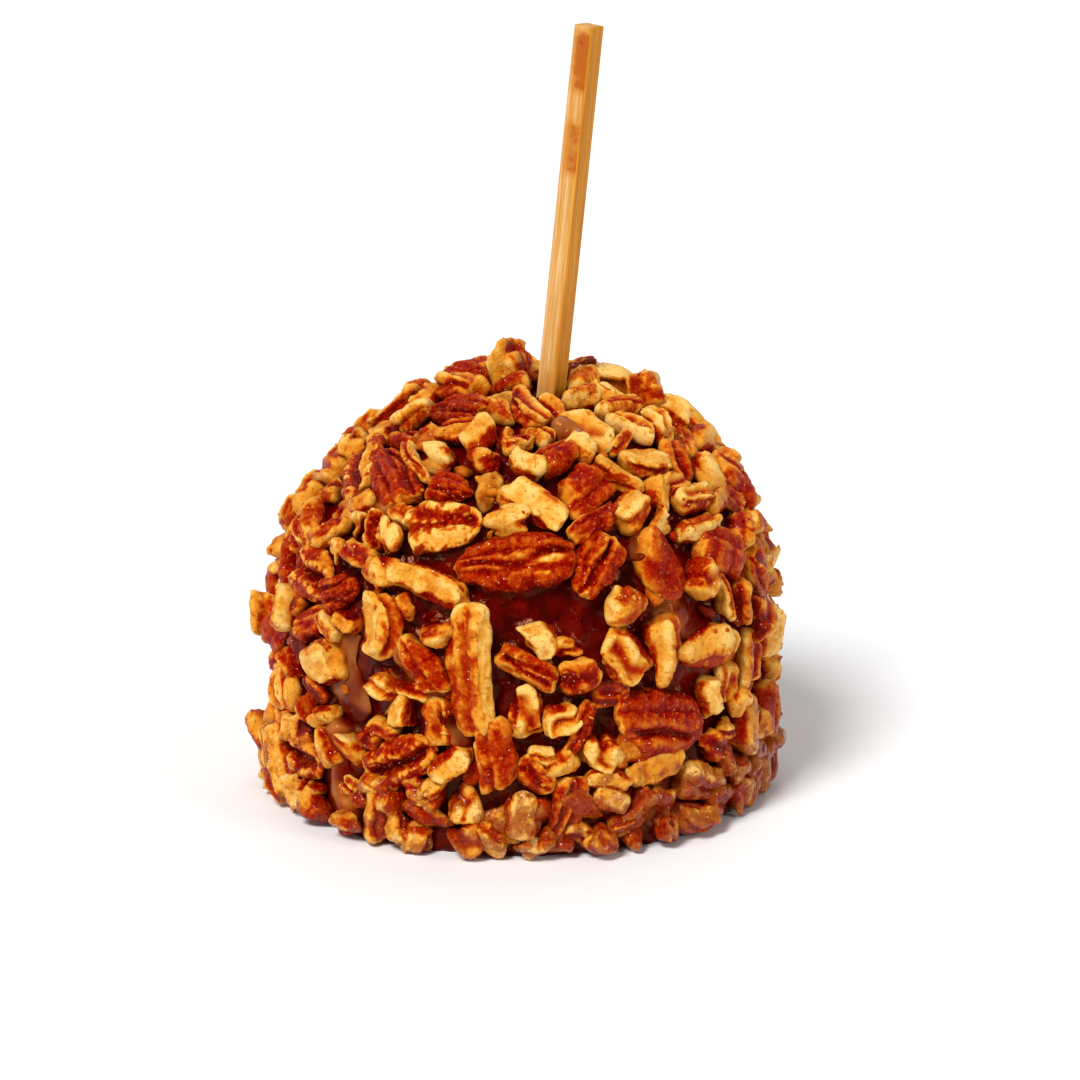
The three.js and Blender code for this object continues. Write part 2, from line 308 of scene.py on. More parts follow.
def cut(bm, point, normal):
    """Cuts off what lies beyond a plane and closes the cut."""
    result = bmesh.ops.bisect_plane(
        bm,
        geom=bm.verts[:] + bm.edges[:] + bm.faces[:],
        dist=1e-5,
        plane_co=point,
        plane_no=normal,
        clear_outer=True,
    )
    rim = [e for e in result["geom_cut"] if isinstance(e, bmesh.types.BMEdge)]
    if rim:
        bmesh.ops.triangle_fill(bm, use_beauty=True, use_dissolve=False, edges=rim)


def random_direction(rng):
    return Vector((rng.gauss(0, 1), rng.gauss(0, 1), rng.gauss(0, 1))).normalized()


def random_offset(rng):
    """A shift that gives a piece its own stretch of a noise."""
    return Vector((rng.uniform(-50, 50), rng.uniform(-50, 50), rng.uniform(-50, 50)))


def tilted(vector, rng, degrees):
    """A direction turned at random by up to some degrees."""
    axis = random_direction(rng)
    return Matrix.Rotation(math.radians(rng.uniform(-degrees, degrees)), 3, axis) @ Vector(vector)


CROSS_TILT = 25  # degrees that a cut across the half may slant
END_SPARE = 1.0  # mm at an end that isn't worth cutting off


def cross_cuts(rng, length, whole_end):
    """Cuts that leave a stretch of the half, now and then with one whole end."""
    spare = max(0.0, HALF_LENGTH - length)
    share = rng.choice((0.0, 1.0)) if rng.random() < whole_end else rng.uniform(0.3, 0.7)
    start = -HALF_LENGTH / 2 + spare * share
    cuts = []
    if start > -HALF_LENGTH / 2 + END_SPARE:
        cuts.append(((start, 0, 0), tilted((-1, 0, 0), rng, CROSS_TILT)))
    if start + length < HALF_LENGTH / 2 - END_SPARE:
        cuts.append(((start + length, 0, 0), tilted((1, 0, 0), rng, CROSS_TILT)))
    return cuts


# For each form: the longest stretch of the half that it takes in mm, that stretch for each unit of
# its length over its width, and how often it keeps a whole end. A nib has a stretch of any length.
STRETCHES = {
    "half": (24, 12.5, 0.8),
    "bowl": (24, 12.5, 0.8),
    "lobe": (19, 6.5, 0.3),
    "kernel": (18, 6.5, 0.2),
    "slice": (20, 9, 0.3),
    "sliver": (18, 4.5, 0.2),
}
NIB_STRETCH = (6.5, 9.5)  # mm
NIB_WHOLE_END = 0.35
SLIVER_WIDTH = 5.0  # mm


def chop_plan(form, aspect, rng):
    """The cuts for a form of a given length over width, and the turn that brings its face up."""
    side = rng.choice((-1, 1))
    if form == "nib":
        # A short end or lump, any way up.
        cuts = cross_cuts(rng, rng.uniform(*NIB_STRETCH), NIB_WHOLE_END)
        cuts.append(((0, side * rng.uniform(-2.0, 0.8), 0), tilted((0, -side, 0), rng, 25)))
        turn = Matrix.Rotation(rng.uniform(-0.9, 0.9), 3, "X") @ Matrix.Rotation(
            rng.choice((-1, 0, 1)) * math.pi / 2 + rng.uniform(-0.4, 0.4), 3, "Y"
        )
        return cuts, turn
    longest, stretch, whole_end = STRETCHES[form]
    cuts = cross_cuts(rng, min(longest, aspect * stretch), whole_end)
    if form in ("half", "bowl"):
        face = math.pi if form == "bowl" else 0
        roll = face + rng.uniform(-0.3, 0.3)
    elif form == "lobe":
        cuts.append(((0, side * rng.uniform(-1.0, 0.6), 0), tilted((0, -side, 0), rng, 10)))
        roll = side * rng.uniform(0.2, 0.8)
    elif form == "kernel":
        cuts.append(((0, side * rng.uniform(-0.8, 0.8), 0), tilted((0, -side, 0), rng, 14)))
        roll = -side * rng.uniform(0.5, 1.2)
    elif form == "slice":
        cuts.append(((0, 0, rng.uniform(0.4, 1.8)), tilted((0, 0, 1), rng, 20)))
        cuts.append(((0, side * rng.uniform(-4, -1), 0), tilted((0, -side, 0), rng, 20)))
        roll = 0.0
    else:
        middle = side * rng.uniform(1.5, 4.5)
        cuts.append(((0, middle - SLIVER_WIDTH / 2, 0), tilted((0, -1, 0), rng, 8)))
        cuts.append(((0, middle + SLIVER_WIDTH / 2, 0), tilted((0, 1, 0), rng, 8)))
        roll = rng.uniform(-0.5, 0.5)
    return cuts, Matrix.Rotation(roll, 3, "X")


def knock_corners(bm, rng, count):
    """Chips off what stands out the most in a few directions."""
    for _ in range(count):
        direction = random_direction(rng)
        reach = max(v.co.dot(direction) for v in bm.verts)
        cut(bm, direction * (reach - rng.uniform(0.5, 1.5)), direction)


def evened(bm, voxel):
    """The closed shape as an even mesh, with its cuts joined."""
    scratch = bpy.data.objects.new("chopped", mesh_of(bm, "chopped"))
    bpy.context.scene.collection.objects.link(scratch)
    even = scratch.modifiers.new("Even", "REMESH")
    even.mode = "VOXEL"
    even.voxel_size = voxel
    bpy.context.view_layer.update()
    mesh = bpy.data.meshes.new_from_object(
        scratch.evaluated_get(bpy.context.evaluated_depsgraph_get())
    )
    bpy.data.objects.remove(scratch)
    return mesh


# For each form: how much skin is rubbed off its ridges, how far it curls, in radians, and how far
# its edges are rounded, in mm.
WORN = {
    "half": (0.2, 0.2, 0.55),
    "lobe": (0.4, 0.4, 0.65),
    "bowl": (0.95, 0.3, 0.7),
    "kernel": (0.6, 0.7, 0.75),
    "nib": (0.6, 0.8, 0.85),
    "slice": (0.6, 0.9, 0.85),
    "sliver": (0.5, 1.1, 0.8),
}
PLUMPING = 0.35  # mm, how far a piece swells back after the rounding
SKIN_DEPTH = (0.15, 0.55)  # mm under the kernel's own surface, from where skin ends to all flesh
STRAIGHT = 0.02  # radians, the least that a piece curls
CREASE_REACH, HOLLOW_REACH = 1.6, 5.4  # mm

# The furrows along the face of each form: their middle as a share of half the width, their depth
# and half-width in mm, and how often a piece has them.
FURROWS = {
    "half": ((-0.38, 0.9, 0.7, 1.0), (0.38, 0.9, 0.7, 0.45)),
    "bowl": ((0.05, 1.8, 1.6, 1.0),),
    "lobe": ((0.12, 1.2, 0.75, 0.4),),
    "kernel": ((-0.1, 1.5, 1.0, 0.45),),
    "nib": ((0.0, 1.4, 0.9, 0.4), (0.55, 0.7, 0.6, 0.2)),
    "slice": ((0.2, 1.0, 1.0, 0.4),),
    "sliver": ((0.0, 0.6, 0.5, 0.25),),
}
LIP = 0.3  # height of the lips beside a furrow, as a share of its depth
KNOB_SPACING = 2.3  # mm between the knobs along a lip
RUN_OUT = 0.25  # of half the length, over which a furrow fades at a shut end


def keep_largest(bm):
    """Takes away the splinters that the cuts left beside the piece."""
    left = set(bm.verts)
    parts = []
    while left:
        part = [left.pop()]
        for vert in part:
            near = [edge.other_vert(vert) for edge in vert.link_edges]
            fresh = [other for other in near if other in left]
            left.difference_update(fresh)
            part.extend(fresh)
        parts.append(part)
    parts.sort(key=len)
    splinters = [vert for part in parts[:-1] for vert in part]
    bmesh.ops.delete(bm, geom=splinters, context="VERTS")


def curl(bm, angle, sway):
    """Bends a piece that lies along X sideways, by an angle over its length, with an S in it."""
    xs = [v.co.x for v in bm.verts]
    middle, length = (max(xs) + min(xs)) / 2, max(xs) - min(xs)
    radius = length / angle
    for vert in bm.verts:
        x = vert.co.x - middle
        y = vert.co.y + sway * length * math.sin(2 * math.pi * x / length)
        reach = radius - y
        vert.co.x = reach * math.sin(x / radius)
        vert.co.y = radius - reach * math.cos(x / radius)


def smoothed(bm, rounds):
    for _ in range(rounds):
        bmesh.ops.smooth_vert(
            bm, verts=bm.verts, factor=0.5, use_axis_x=True, use_axis_y=True, use_axis_z=True
        )
    bm.normal_update()


def furrowed(bm, furrows, rng, voxel):
    """Sinks furrows along the face of a piece and raises knobbly lips beside them.

    Gives how far in a furrow each corner is, from 0 to 1.
    """
    corners = np.array([v.co for v in bm.verts])
    faces_up = smoothstep(-0.1, 0.6, np.array([v.normal.z for v in bm.verts]))
    middle = (corners.max(0) + corners.min(0)) / 2
    half = np.ptp(corners, axis=0) / 2
    u, v = ((corners - middle) / half)[:, :2].T
    in_furrow = np.zeros(len(corners))
    rise = np.zeros(len(corners))
    flip = rng.choice((-1, 1))
    for place, depth, width, chance in furrows:
        if rng.random() > chance:
            continue
        phase = rng.uniform(0, 6)
        place = flip * place + rng.uniform(-0.1, 0.1)
        # It wanders, and swells and narrows, along the piece.
        wander = 0.16 * np.sin(2.1 * u + phase) + 0.08 * np.sin(5.3 * u + 2 * phase)
        away = np.abs(v - place - wander) * half[1]
        width = max(width * rng.uniform(0.85, 1.2), 0.95 * voxel)
        width = width * (1 + 0.3 * np.sin(3.4 * u + 3 * phase))
        # A furrow runs out through one end or through none.
        shut = [rng.uniform(0.5, 0.75), rng.uniform(0.5, 0.75)]
        if rng.random() < 0.6:
            shut[rng.randrange(2)] = 1.3
        run = 1 - smoothstep(shut[0], shut[0] + RUN_OUT, u)
        run = run * (1 - smoothstep(shut[1], shut[1] + RUN_OUT, -u))
        groove = np.exp(-((away / width) ** 2)) * run * faces_up
        in_furrow = np.maximum(in_furrow, groove)
        turns = 2 * math.pi * corners[:, 0] / KNOB_SPACING
        knobs = 1 + 0.35 * np.sin(turns + 1.7 * np.sin(0.31 * turns + phase))
        lip = np.exp(-(((away - 2.1 * width) / width) ** 2)) * run * faces_up
        depth = min(depth * rng.uniform(0.8, 1.25), 0.7 * half[2])
        rise += LIP * depth * lip * knobs - depth * groove
    for vert, up in zip(bm.verts, rise):
        vert.co.z += up
    smoothed(bm, 2)
    return in_furrow


def chopped(kernel, form, aspect, voxel, seed, curling=1.0, furrows=None, roll=0):
    """A piece of pecan centred on the origin in millimetres, lying along X with its face to +Z.

    Its traits are skin, which is 1 on the kernel's own surface and 0 where it broke or was rubbed
    off, hollow and edge, which are over 0 in its hollows and creases and under 0 on its ridges
    and sharp rims, furrow, and own, which is its place on the kernel.
    """
    wear, most_curl, rounding = WORN[form]
    rng = seeded("chop", form, seed)
    cuts, turn = chop_plan(form, aspect, rng)
    bm = bmesh.new()
    bm.from_mesh(kernel.mesh)
    for point, normal in cuts:
        cut(bm, Vector(point), normal)
    knock_corners(bm, rng, 3 if form in ("half", "bowl") else 4)
    mesh = evened(bm, voxel)

    bm = bmesh.new()
    bm.from_mesh(mesh)
    bpy.data.meshes.remove(mesh)
    keep_largest(bm)
    depths = np.array([kernel.surface.find_nearest(v.co)[3] for v in bm.verts])
    natural = 1 - smoothstep(*SKIN_DEPTH, depths)
    own_places = np.array([v.co for v in bm.verts])
    bmesh.ops.rotate(bm, verts=bm.verts, matrix=Matrix.Rotation(roll, 3, "X") @ turn)
    bend = curling * most_curl * rng.uniform(0.15, 1.2) * rng.choice((-1, 1))
    sway = curling * most_curl * rng.uniform(-0.09, 0.09)
    bm.normal_update()
    offset = random_offset(rng)
    # Lumps 3 mm and 1.5 mm across and a coarse grain, gentler on the kernel's own surface.
    for vert, own in zip(bm.verts, natural):
        place = vert.co + offset
        lump = 1.1 * noise.noise(place * 0.3) + 0.75 * noise.noise(place * 0.65)
        rough = 0.35 * noise.noise(place * 1.4)
        vert.co += vert.normal * (lump * (1 - 0.5 * own) + rough)
    smoothed(bm, max(2, round(2 * (rounding / voxel) ** 2)))
    for vert in bm.verts:
        vert.co += vert.normal * PLUMPING
    bm.normal_update()
    in_furrow = furrowed(bm, FURROWS[form] if furrows is None else furrows, rng, voxel)
    curl(bm, bend if abs(bend) > STRAIGHT else STRAIGHT, sway)
    bm.normal_update()
    for vert, own in zip(bm.verts, natural):
        place = vert.co + offset
        wrinkle = 1 - 2 * abs(noise.noise(place * 0.9))
        fine = 0.14 * noise.noise(place * 1.1)
        vert.co += vert.normal * (fine + 0.12 * own * wrinkle**3)
    bm.normal_update()
    corners = [v.co.copy() for v in bm.verts]
    normals = [v.normal.copy() for v in bm.verts]
    # What smoothing raises lies in a crease or, after more of it, in a wide hollow.
    sunk = []
    for reach in (CREASE_REACH, HOLLOW_REACH):
        smoothed(bm, round(reach / voxel))
        moved = np.array([(v.co - c).dot(n) for v, c, n in zip(bm.verts, corners, normals)])
        sunk.append(moved - np.median(moved))
    edge, hollow = sunk
    blotches = np.array([noise.noise((c + offset) * 0.5) for c in corners])
    for vert, corner in zip(bm.verts, corners):
        vert.co = corner
    mesh = mesh_of(bm, f"chopped {form}")
    rubbed = smoothstep(0.0, 0.3, blotches * 0.5 - hollow * 1.4)
    set_trait(mesh, "skin", natural * (1 - wear * rubbed))
    set_trait(mesh, "hollow", np.clip(hollow, -1, 1))
    set_trait(mesh, "edge", np.clip(edge, -1, 1) * (1 - 0.4 * natural))
    set_trait(mesh, "furrow", in_furrow)
    set_trait(mesh, "own", own_places + np.array(offset))
    corners = corners_of(mesh)
    middle = (corners.max(0) + corners.min(0)) / 2
    mesh.transform(Matrix.Translation(-Vector(middle)))
    return mesh


def extents(mesh):
    return np.ptp(corners_of(mesh), axis=0)


# ---- Where the pecans lie ----

SAMPLES = 11000  # points over the caramel where the cover's height is kept
LOWEST_SINE = -RING_HEIGHT / math.hypot(RING_HEIGHT, FOOT_RADIUS)
GOLDEN_ANGLE = math.pi * (3 - math.sqrt(5))
TABLE_CLEARANCE = 0.25  # mm
NUT_TOP = 5.5  # mm, height of the pecans' backs over the caramel
SUNK = 0.7  # mm that a pecan is pressed into the caramel
HEAP_TOP = 19.0  # mm over the table, up to where the pecans are heaped up round the foot
STICK_ROOM = 0.75 * STICK_WIDTH  # radius round the stick that stays free of pecans
STICK_DIP = 6.0  # mm under the top, down to where that room reaches
GLAZE_TOP = 24.0  # mm over the table, where the glaze that the lowest pecans have ends


def nearness(direction, places):
    """Over 1 outside every one of some places, and less inside one."""
    azimuth = math.degrees(math.atan2(direction.x, -direction.y))
    latitude = math.degrees(math.asin(max(-1, min(1, direction.z))))
    return min(math.hypot((azimuth - a) / w, (latitude - l) / h) for a, l, w, h in places)


def milkiness(direction):
    """How milky the caramel is, from 0 to 1: partly its own pale colour and partly a painted
    reflection.
    """
    return float(1 - smoothstep(0.3, 1.1, nearness(direction, MILKY_AND_REFLECTION)))


class Cover:
    """How high the nuts stand at points spread evenly over the caramel."""

    def __init__(self):
        self.headings = []
        for i in range(SAMPLES):
            z = 1 - (1 - LOWEST_SINE) * (i + 0.5) / SAMPLES
            level = math.sqrt(1 - z * z)
            turn = i * GOLDEN_ANGLE
            self.headings.append(Vector((level * math.cos(turn), level * math.sin(turn), z)))
        self.points = [coat_point(h, NUT_TOP / 2) for h in self.headings]
        self.height = np.zeros(SAMPLES)
        self.bare = np.array([nearness(h, BARE) < 1 for h in self.headings])
        self.low = np.array([point.z < HEAP_TOP for point in self.points])
        for i, point in enumerate(self.points):
            away = point - STICK_FOOT
            away -= STICK_ALONG * away.dot(STICK_ALONG)
            if point.z > CARAMEL_TOP - STICK_DIP and away.length < STICK_ROOM:
                self.bare[i] = True
        self.tree = KDTree(SAMPLES)
        for i, point in enumerate(self.points):
            self.tree.insert(point, i)
        self.tree.balance()

    def under(self, middle, along, across, length, width):
        """The samples under an oval."""
        found = []
        for point, i, _ in self.tree.find_range(middle, length / 2 + 2):
            away = point - middle
            u, v = 2 * away.dot(along) / length, 2 * away.dot(across) / width
            if u * u + v * v < 1:
                found.append(i)
        return found

    def mark(self, found, top):
        self.height[found] = np.maximum(self.height[found], top)


class Creep:
    """How far the caramel has crept up between the nuts: 1 under them, and 0 where it is bare."""

    REACH = 3.0  # mm

    def __init__(self, cover):
        self.tree = cover.tree
        self.covered = (cover.height > 0).astype(float)

    def at(self, point):
        total = weight = 0.0
        for _, i, away in self.tree.find_range(point, self.REACH):
            near = 1 - (away / self.REACH) ** 2
            total += near * self.covered[i]
            weight += near
        return total / weight if weight else 0.0


def axes_at(direction, turn):
    """Directions along, across and out for a piece lying on the caramel at a turn in radians."""
    out = coat_normal(direction)
    east = UP.cross(out)
    east = east.normalized() if east.length > 1e-4 else Vector((1, 0, 0))
    along = Matrix.Rotation(turn, 3, out) @ east
    return along, out.cross(along).normalized(), out


def laid(mesh, middle, along, across, out, scale):
    """A copy of a chopped piece at its place, in metres."""
    copy = mesh.copy()
    turn = Matrix((along, across, out)).transposed()
    place = Matrix.Translation(middle) @ turn.to_4x4() @ Matrix.Diagonal((*scale, 1))
    copy.transform(Matrix.Scale(MM, 4) @ place)
    low = corners_of(copy)[:, 2].min()
    if low < TABLE_CLEARANCE * MM:
        copy.transform(Matrix.Translation((0, 0, TABLE_CLEARANCE * MM - low)))
    return copy


def give_tone(mesh, rng, direction, tone=None):
    """Traits of the laid piece: its own tone, its height over the caramel and its glaze."""
    if tone is None:
        # The pieces are paler higher up, and most of all at the upper right.
        tone = rng.random() + 0.4 * direction.z + 0.2 * direction.x * direction.z
    set_trait(mesh, "tone", np.full(len(mesh.vertices), tone))
    corners = corners_of(mesh) / MM
    base = np.array(coat_point(direction))
    out = np.array(coat_normal(direction))
    set_trait(mesh, "lift", (corners - base) @ out)
    glaze = (0.9 + 0.3 * direction.x) * smoothstep(GLAZE_TOP, GLAZE_TOP / 3, corners[:, 2])
    set_trait(mesh, "glaze", np.maximum(glaze, 0.45 * milkiness(direction)))
    return mesh


def pecan_frame(node):
    """Where a large pecan lies: its heading, the middle of its top, its directions and its sizes.

    The last is how high its top is over the caramel.
    """
    centres, areas, _, corners = solid_parts(node)
    middle = Vector(np.average(centres, axis=0, weights=areas))
    unlean = middle - Vector((LEAN * (middle.z / CARAMEL_TOP) ** 2, 0, 0))
    direction = (unlean - GLOBE).normalized()
    out = coat_normal(direction)
    level = centres - np.outer((centres - np.array(middle)) @ np.array(out), np.array(out))
    along, _ = main_direction(level, areas)
    along = (along - out * along.dot(out)).normalized()
    across = out.cross(along)
    spans = [corners @ np.array(axis) for axis in (along, across, out)]
    width, length = sorted(float(np.ptp(span)) for span in spans[:2])
    centre = [float(span.max() + span.min()) / 2 for span in spans[:2]]
    top = float(spans[2].max()) - coat_point(direction).dot(out)
    middle = along * centre[0] + across * centre[1] + out * spans[2].max()
    return direction, middle, (along, across, out), length, width, top


class Nuts:
    """What the operators share: the kernel that is chopped and the cover of the caramel."""

    kernel = None
    cover = None


# How pale the large pecans on the shown side are, from 0 for dark skin to 1 for cream flesh, in the
# order of their numbers.
TONES = {
    "half": (0.4, 0.35, 0.15, 0.3, 0.75),
    "lobe": (0.2, 0.5, 0.45, 0.4, 0.4, 0.35, 0.55, 0.5, 0.25, 0.3, 0.4),
    "bowl": (0.3, 0.35, 0.15, 0.8, 0.5),
    "nib": (0.3, 0.8, 0.3, 0.75, 0.6, 0.6, 0.6, 0.8),
    "kernel": (
        0.85, 0.9, 0.75, 0.9, 0.8, 0.7, 0.7, 0.6, 0.8, 0.8, 0.8, 0.65, 0.95, 0.7, 0.6, 0.5, 0.65, 0.7,
    ),
}

# Large pecans that broke in a way of their own: the form they are chopped as, their furrows, how
# far they are rolled over on their long side, in radians, and how much they curl.
LOOKS = {
    "half_01": ("half", ((0.1, 1.3, 0.7, 1.0),), 0, 0.5),
    "half_02": ("half", ((-0.15, 1.5, 0.8, 1.0),), 0, 0.5),
    "half_03": ("half", ((-0.5, 1.0, 0.7, 1.0),), 0, 0.5),
    "half_04": ("lobe", (), 0, 0.5),
    "half_05": ("kernel", ((0.4, 0.8, 0.8, 1.0),), 0, 0.5),
    "bowl_04": ("kernel", ((0.0, 2.2, 1.2, 1.0),), 0, 0.5),
    "kernel_01": ("kernel", (), 0.6, 0.5),
    "kernel_02": ("bowl", ((0.15, 1.6, 2.0, 1.0),), 0, 0.5),
    "kernel_03": ("kernel", ((0.0, 1.8, 1.2, 1.0),), 0, 0.5),
    "kernel_04": ("kernel", (), 0, 1.7),
    "kernel_05": ("kernel", (), 0, 1.3),
    "kernel_14": ("kernel", (), 0, 0.5),
    "kernel_17": ("kernel", (), 0, 0.5),
    "lobe_01": ("half", ((0.4, 1.4, 0.8, 1.0),), 0, 0.5),
    "lobe_02": ("half", ((0.0, 2.0, 0.9, 1.0),), 0, 0.5),
    "lobe_03": ("lobe", (), 0, 0.5),
    "lobe_07": ("lobe", (), 0, 0.5),
    "nib_01": ("lobe", (), 0, 0.5),
    "nib_07": ("kernel", (), 0, 1.0),
}

# Size in mm of the even mesh's cells, for each group of pieces.
LARGE_VOXEL = 0.45
PLACED_VOXEL = 0.55
FOOT_VOXEL = 0.65
SMALL_VOXEL = 0.84
LARGE_CURL = 0.5  # how much of its form's curl a large pecan has
MOST_STRETCH = 1.25  # how much more a large pecan is stretched in height than along or across


def large_pecan(node):
    """The pecan that takes a CAD node's place, at its size and turn."""
    _, kind, number = node.split("_")
    form, furrows, roll, curling = LOOKS.get(f"{kind}_{number}", (kind, None, 0, LARGE_CURL))
    tones = TONES[kind]
    tone = tones[int(number) - 1] if int(number) <= len(tones) else None
    direction, top_middle, (along, across, out), length, width, top = pecan_frame(node)
    rng = seeded("large", node)
    mesh = chopped(
        Nuts.kernel, form, length / width, LARGE_VOXEL, node, curling, furrows, roll
    )
    natural = extents(mesh)
    thick = top + SUNK
    scale = [length / natural[0], width / natural[1], thick / natural[2]]
    if scale[2] > MOST_STRETCH * max(scale[:2]):
        scale[2] = MOST_STRETCH * max(scale[:2])
        thick = scale[2] * natural[2]
    middle = top_middle - out * (thick / 2)
    copy = laid(mesh, middle, along, across, out, scale)
    bpy.data.meshes.remove(mesh)
    Nuts.cover.mark(Nuts.cover.under(middle, along, across, length, width), top)
    return give_tone(copy, rng, direction, tone)


# For each form of the small pieces: how many shapes, shortest and longest in mm, length over width.
SMALL_KINDS = {
    "nib": (12, 5.0, 8.0, 1.2),
    "kernel": (9, 6.5, 11.0, 1.8),
    "lobe": (7, 7.0, 11.5, 1.9),
    "slice": (8, 6.5, 10.5, 1.4),
    "sliver": (5, 6.0, 10.0, 2.6),
}
SMALL_MIX = ("nib", "kernel", "slice", "lobe", "nib", "kernel", "nib", "kernel", "sliver", "lobe")

# Small pieces with a place of their own: form, azimuth and latitude of both ends in degrees, width
# in mm, tone from dark to pale, and how far it stands out of the rest in mm.
PLACED = (
    ("sliver", -62, 54, -37, 45, 3.4, 0.9, 0),
    ("nib", -49, 53, -33, 53, 6.0, 1.0, 0),
    ("lobe", -52, 59, -28, 63, 5.0, 0.3, 0),
    ("nib", -30, 55, -14, 55, 6.0, 0.5, 0),
    ("half", -36, 46, -20, 46, 7.0, 0.4, 0),
    ("nib", -84, 30, -73, 23, 6.0, 1.0, 0),
    ("nib", -58, 33, -50, 31, 5.5, 1.0, 0),
    ("nib", -41, 36, -37, 28, 5.0, 1.0, 0),
    ("nib", -59, 26, -53, 24, 5.0, 0.9, 0),
    ("half", -54, 14, -44, 19, 7.0, 0.3, 0),
    ("nib", -25, 13, -15, 11, 5.5, 0.5, 0),
    ("nib", -38, -1, -28, -3, 6.0, 0.95, 0),
    ("nib", -24, -3, -30, -11, 6.0, 0.6, 0),
    ("nib", -47, -19, -37, -19, 7.5, 1.0, 0),
    ("nib", -2, 12, 8, 11, 7.0, 1.0, 0),
    ("nib", 8, 3, 18, 3, 7.5, 0.5, 0),
    ("nib", 19, 18, 31, 18, 7.5, 1.0, 0),
    ("lobe", 11, 34, 28, 41, 5.0, 0.2, 0),
    ("sliver", 43, 69, 80, 64, 4.0, 1.0, 0),
    ("sliver", 25, 76, 70, 74, 4.0, 1.0, 0),
    ("nib", -15, 60, -1, 60, 5.5, 0.6, 0),
    ("kernel", 76, 63, 70, 53, 6.0, 1.0, 0),
    ("kernel", 47, 38, 64, 38, 5.5, 0.6, 0),
    ("kernel", 44, 31, 60, 31, 5.0, 1.0, 0),
    ("nib", 33, 36, 44, 35, 5.0, 1.0, 0),
    ("kernel", 26, 37, 38, 42, 7.0, 0.8, 0),
    ("nib", 44, 46, 41, 38, 6.0, 0.6, 0),
    ("sliver", 52, 21, 56, 8, 4.0, 1.0, 0),
    ("lobe", 80, 26, 90, 22, 6.0, 0.8, 0),
    ("slice", 24, -21, 40, -19, 6.0, 0.3, 0),
    ("lobe", 16, -3, 11, -16, 4.0, 0.15, 0),
    ("kernel", 5, -9, 13, -5, 6.5, 0.8, 0),
    ("nib", 2, -15, 8, -15, 4.5, 1.0, 0),
    ("kernel", 48, -3, 49, -13, 5.5, 0.95, 0),
    ("nib", 50, -17, 58, -17, 5.0, 0.5, 0),
    ("nib", 31, -27, 39, -27, 6.0, 0.4, 0),
    ("kernel", 17, -22, 25, -27, 6.0, 0.6, 0),
    ("lobe", 12, -20, 9, -33, 7.0, 0.5, 0),
    # Behind the top, at the left and right outlines, and low on the left.
    ("half", 152, 79, 128, 73, 7.0, 0.05, 1.5),
    ("nib", -165, 73, -148, 72, 6.0, 0.6, 1.5),
    ("nib", -146, 71, -130, 69, 6.0, 0.5, 1.5),
    ("kernel", -116, 63, -104, 56, 6.0, 0.8, 1.5),
    ("kernel", -95, 19, -91, 28, 6.5, 0.8, 1.5),
    ("kernel", -74, -8, -70, -18, 6.0, 0.7, 0),
    ("kernel", 96, 62, 93, 51, 7.0, 0.9, 1.5),
    ("nib", -60, -10, -56, -16, 5.0, 1.0, 0),
    ("nib", -72, -2, -64, -9, 6.0, 0.5, 0),
    ("nib", -44, -25, -38, -26, 4.0, 1.0, 0),
    ("nib", 88, -10, 87, -17, 6.0, 0.5, 0.5),
    # Round the foot.
    ("nib", -57, -33, -48, -35, 7.0, 0.15, 1),
    ("kernel", -45, -33, -36, -34, 6.0, 0.3, 1),
    ("kernel", -34, -25, -33, -36, 6.0, 0.35, 0),
    ("kernel", -30, -27, -28, -34, 6.0, 0.45, 0),
    ("nib", -26, -31, -22, -36, 7.0, 0.7, 0),
    ("nib", -14, -22, -11, -29, 7.0, 0.8, 0),
    ("kernel", -11, -32, -2, -35, 6.0, 0.75, 0),
    ("nib", 0, -33, 6, -35, 5.0, 0.9, 0),
    ("nib", 6, -34, 14, -37, 7.0, 0.1, 4.5),
    ("kernel", 15, -33, 22, -35, 6.0, 0.3, 2),
    ("nib", 24, -34, 29, -35, 5.0, 0.7, 2),
    ("nib", 33, -31, 36, -37, 5.0, 0.25, 3),
    ("kernel", 38, -33, 50, -35, 6.0, 0.4, 2.5),
    ("lobe", 46, -30, 60, -32, 8.0, 0.3, 0),
    ("kernel", 39, -24, 53, -27, 8.0, 0.8, 0),
)

# Round the back of the foot the pieces stand side by side.
FOOT_BACK = (66, 300)  # azimuths where they start and end, in degrees
FOOT_STEP = 9.0  # degrees from one to the next


def foot_rows(rng):
    """Rows like those above for the pieces round the back of the foot."""
    rows = []
    azimuth = FOOT_BACK[0]
    while azimuth < FOOT_BACK[1]:
        form = rng.choice(("nib", "kernel", "lobe", "nib", "kernel"))
        lean = rng.uniform(-7, 7)
        low = rng.uniform(-36, -33)
        high = low + rng.uniform(3, 9)
        rows.append(
            (form, azimuth - lean, high, azimuth + lean, low, rng.uniform(5.5, 7.5), rng.random(), 0)
        )
        azimuth += FOOT_STEP * rng.uniform(0.85, 1.2)
    return rows


BEYOND_ENDS = 0.6  # mm that a placed piece is longer than the way between its ends


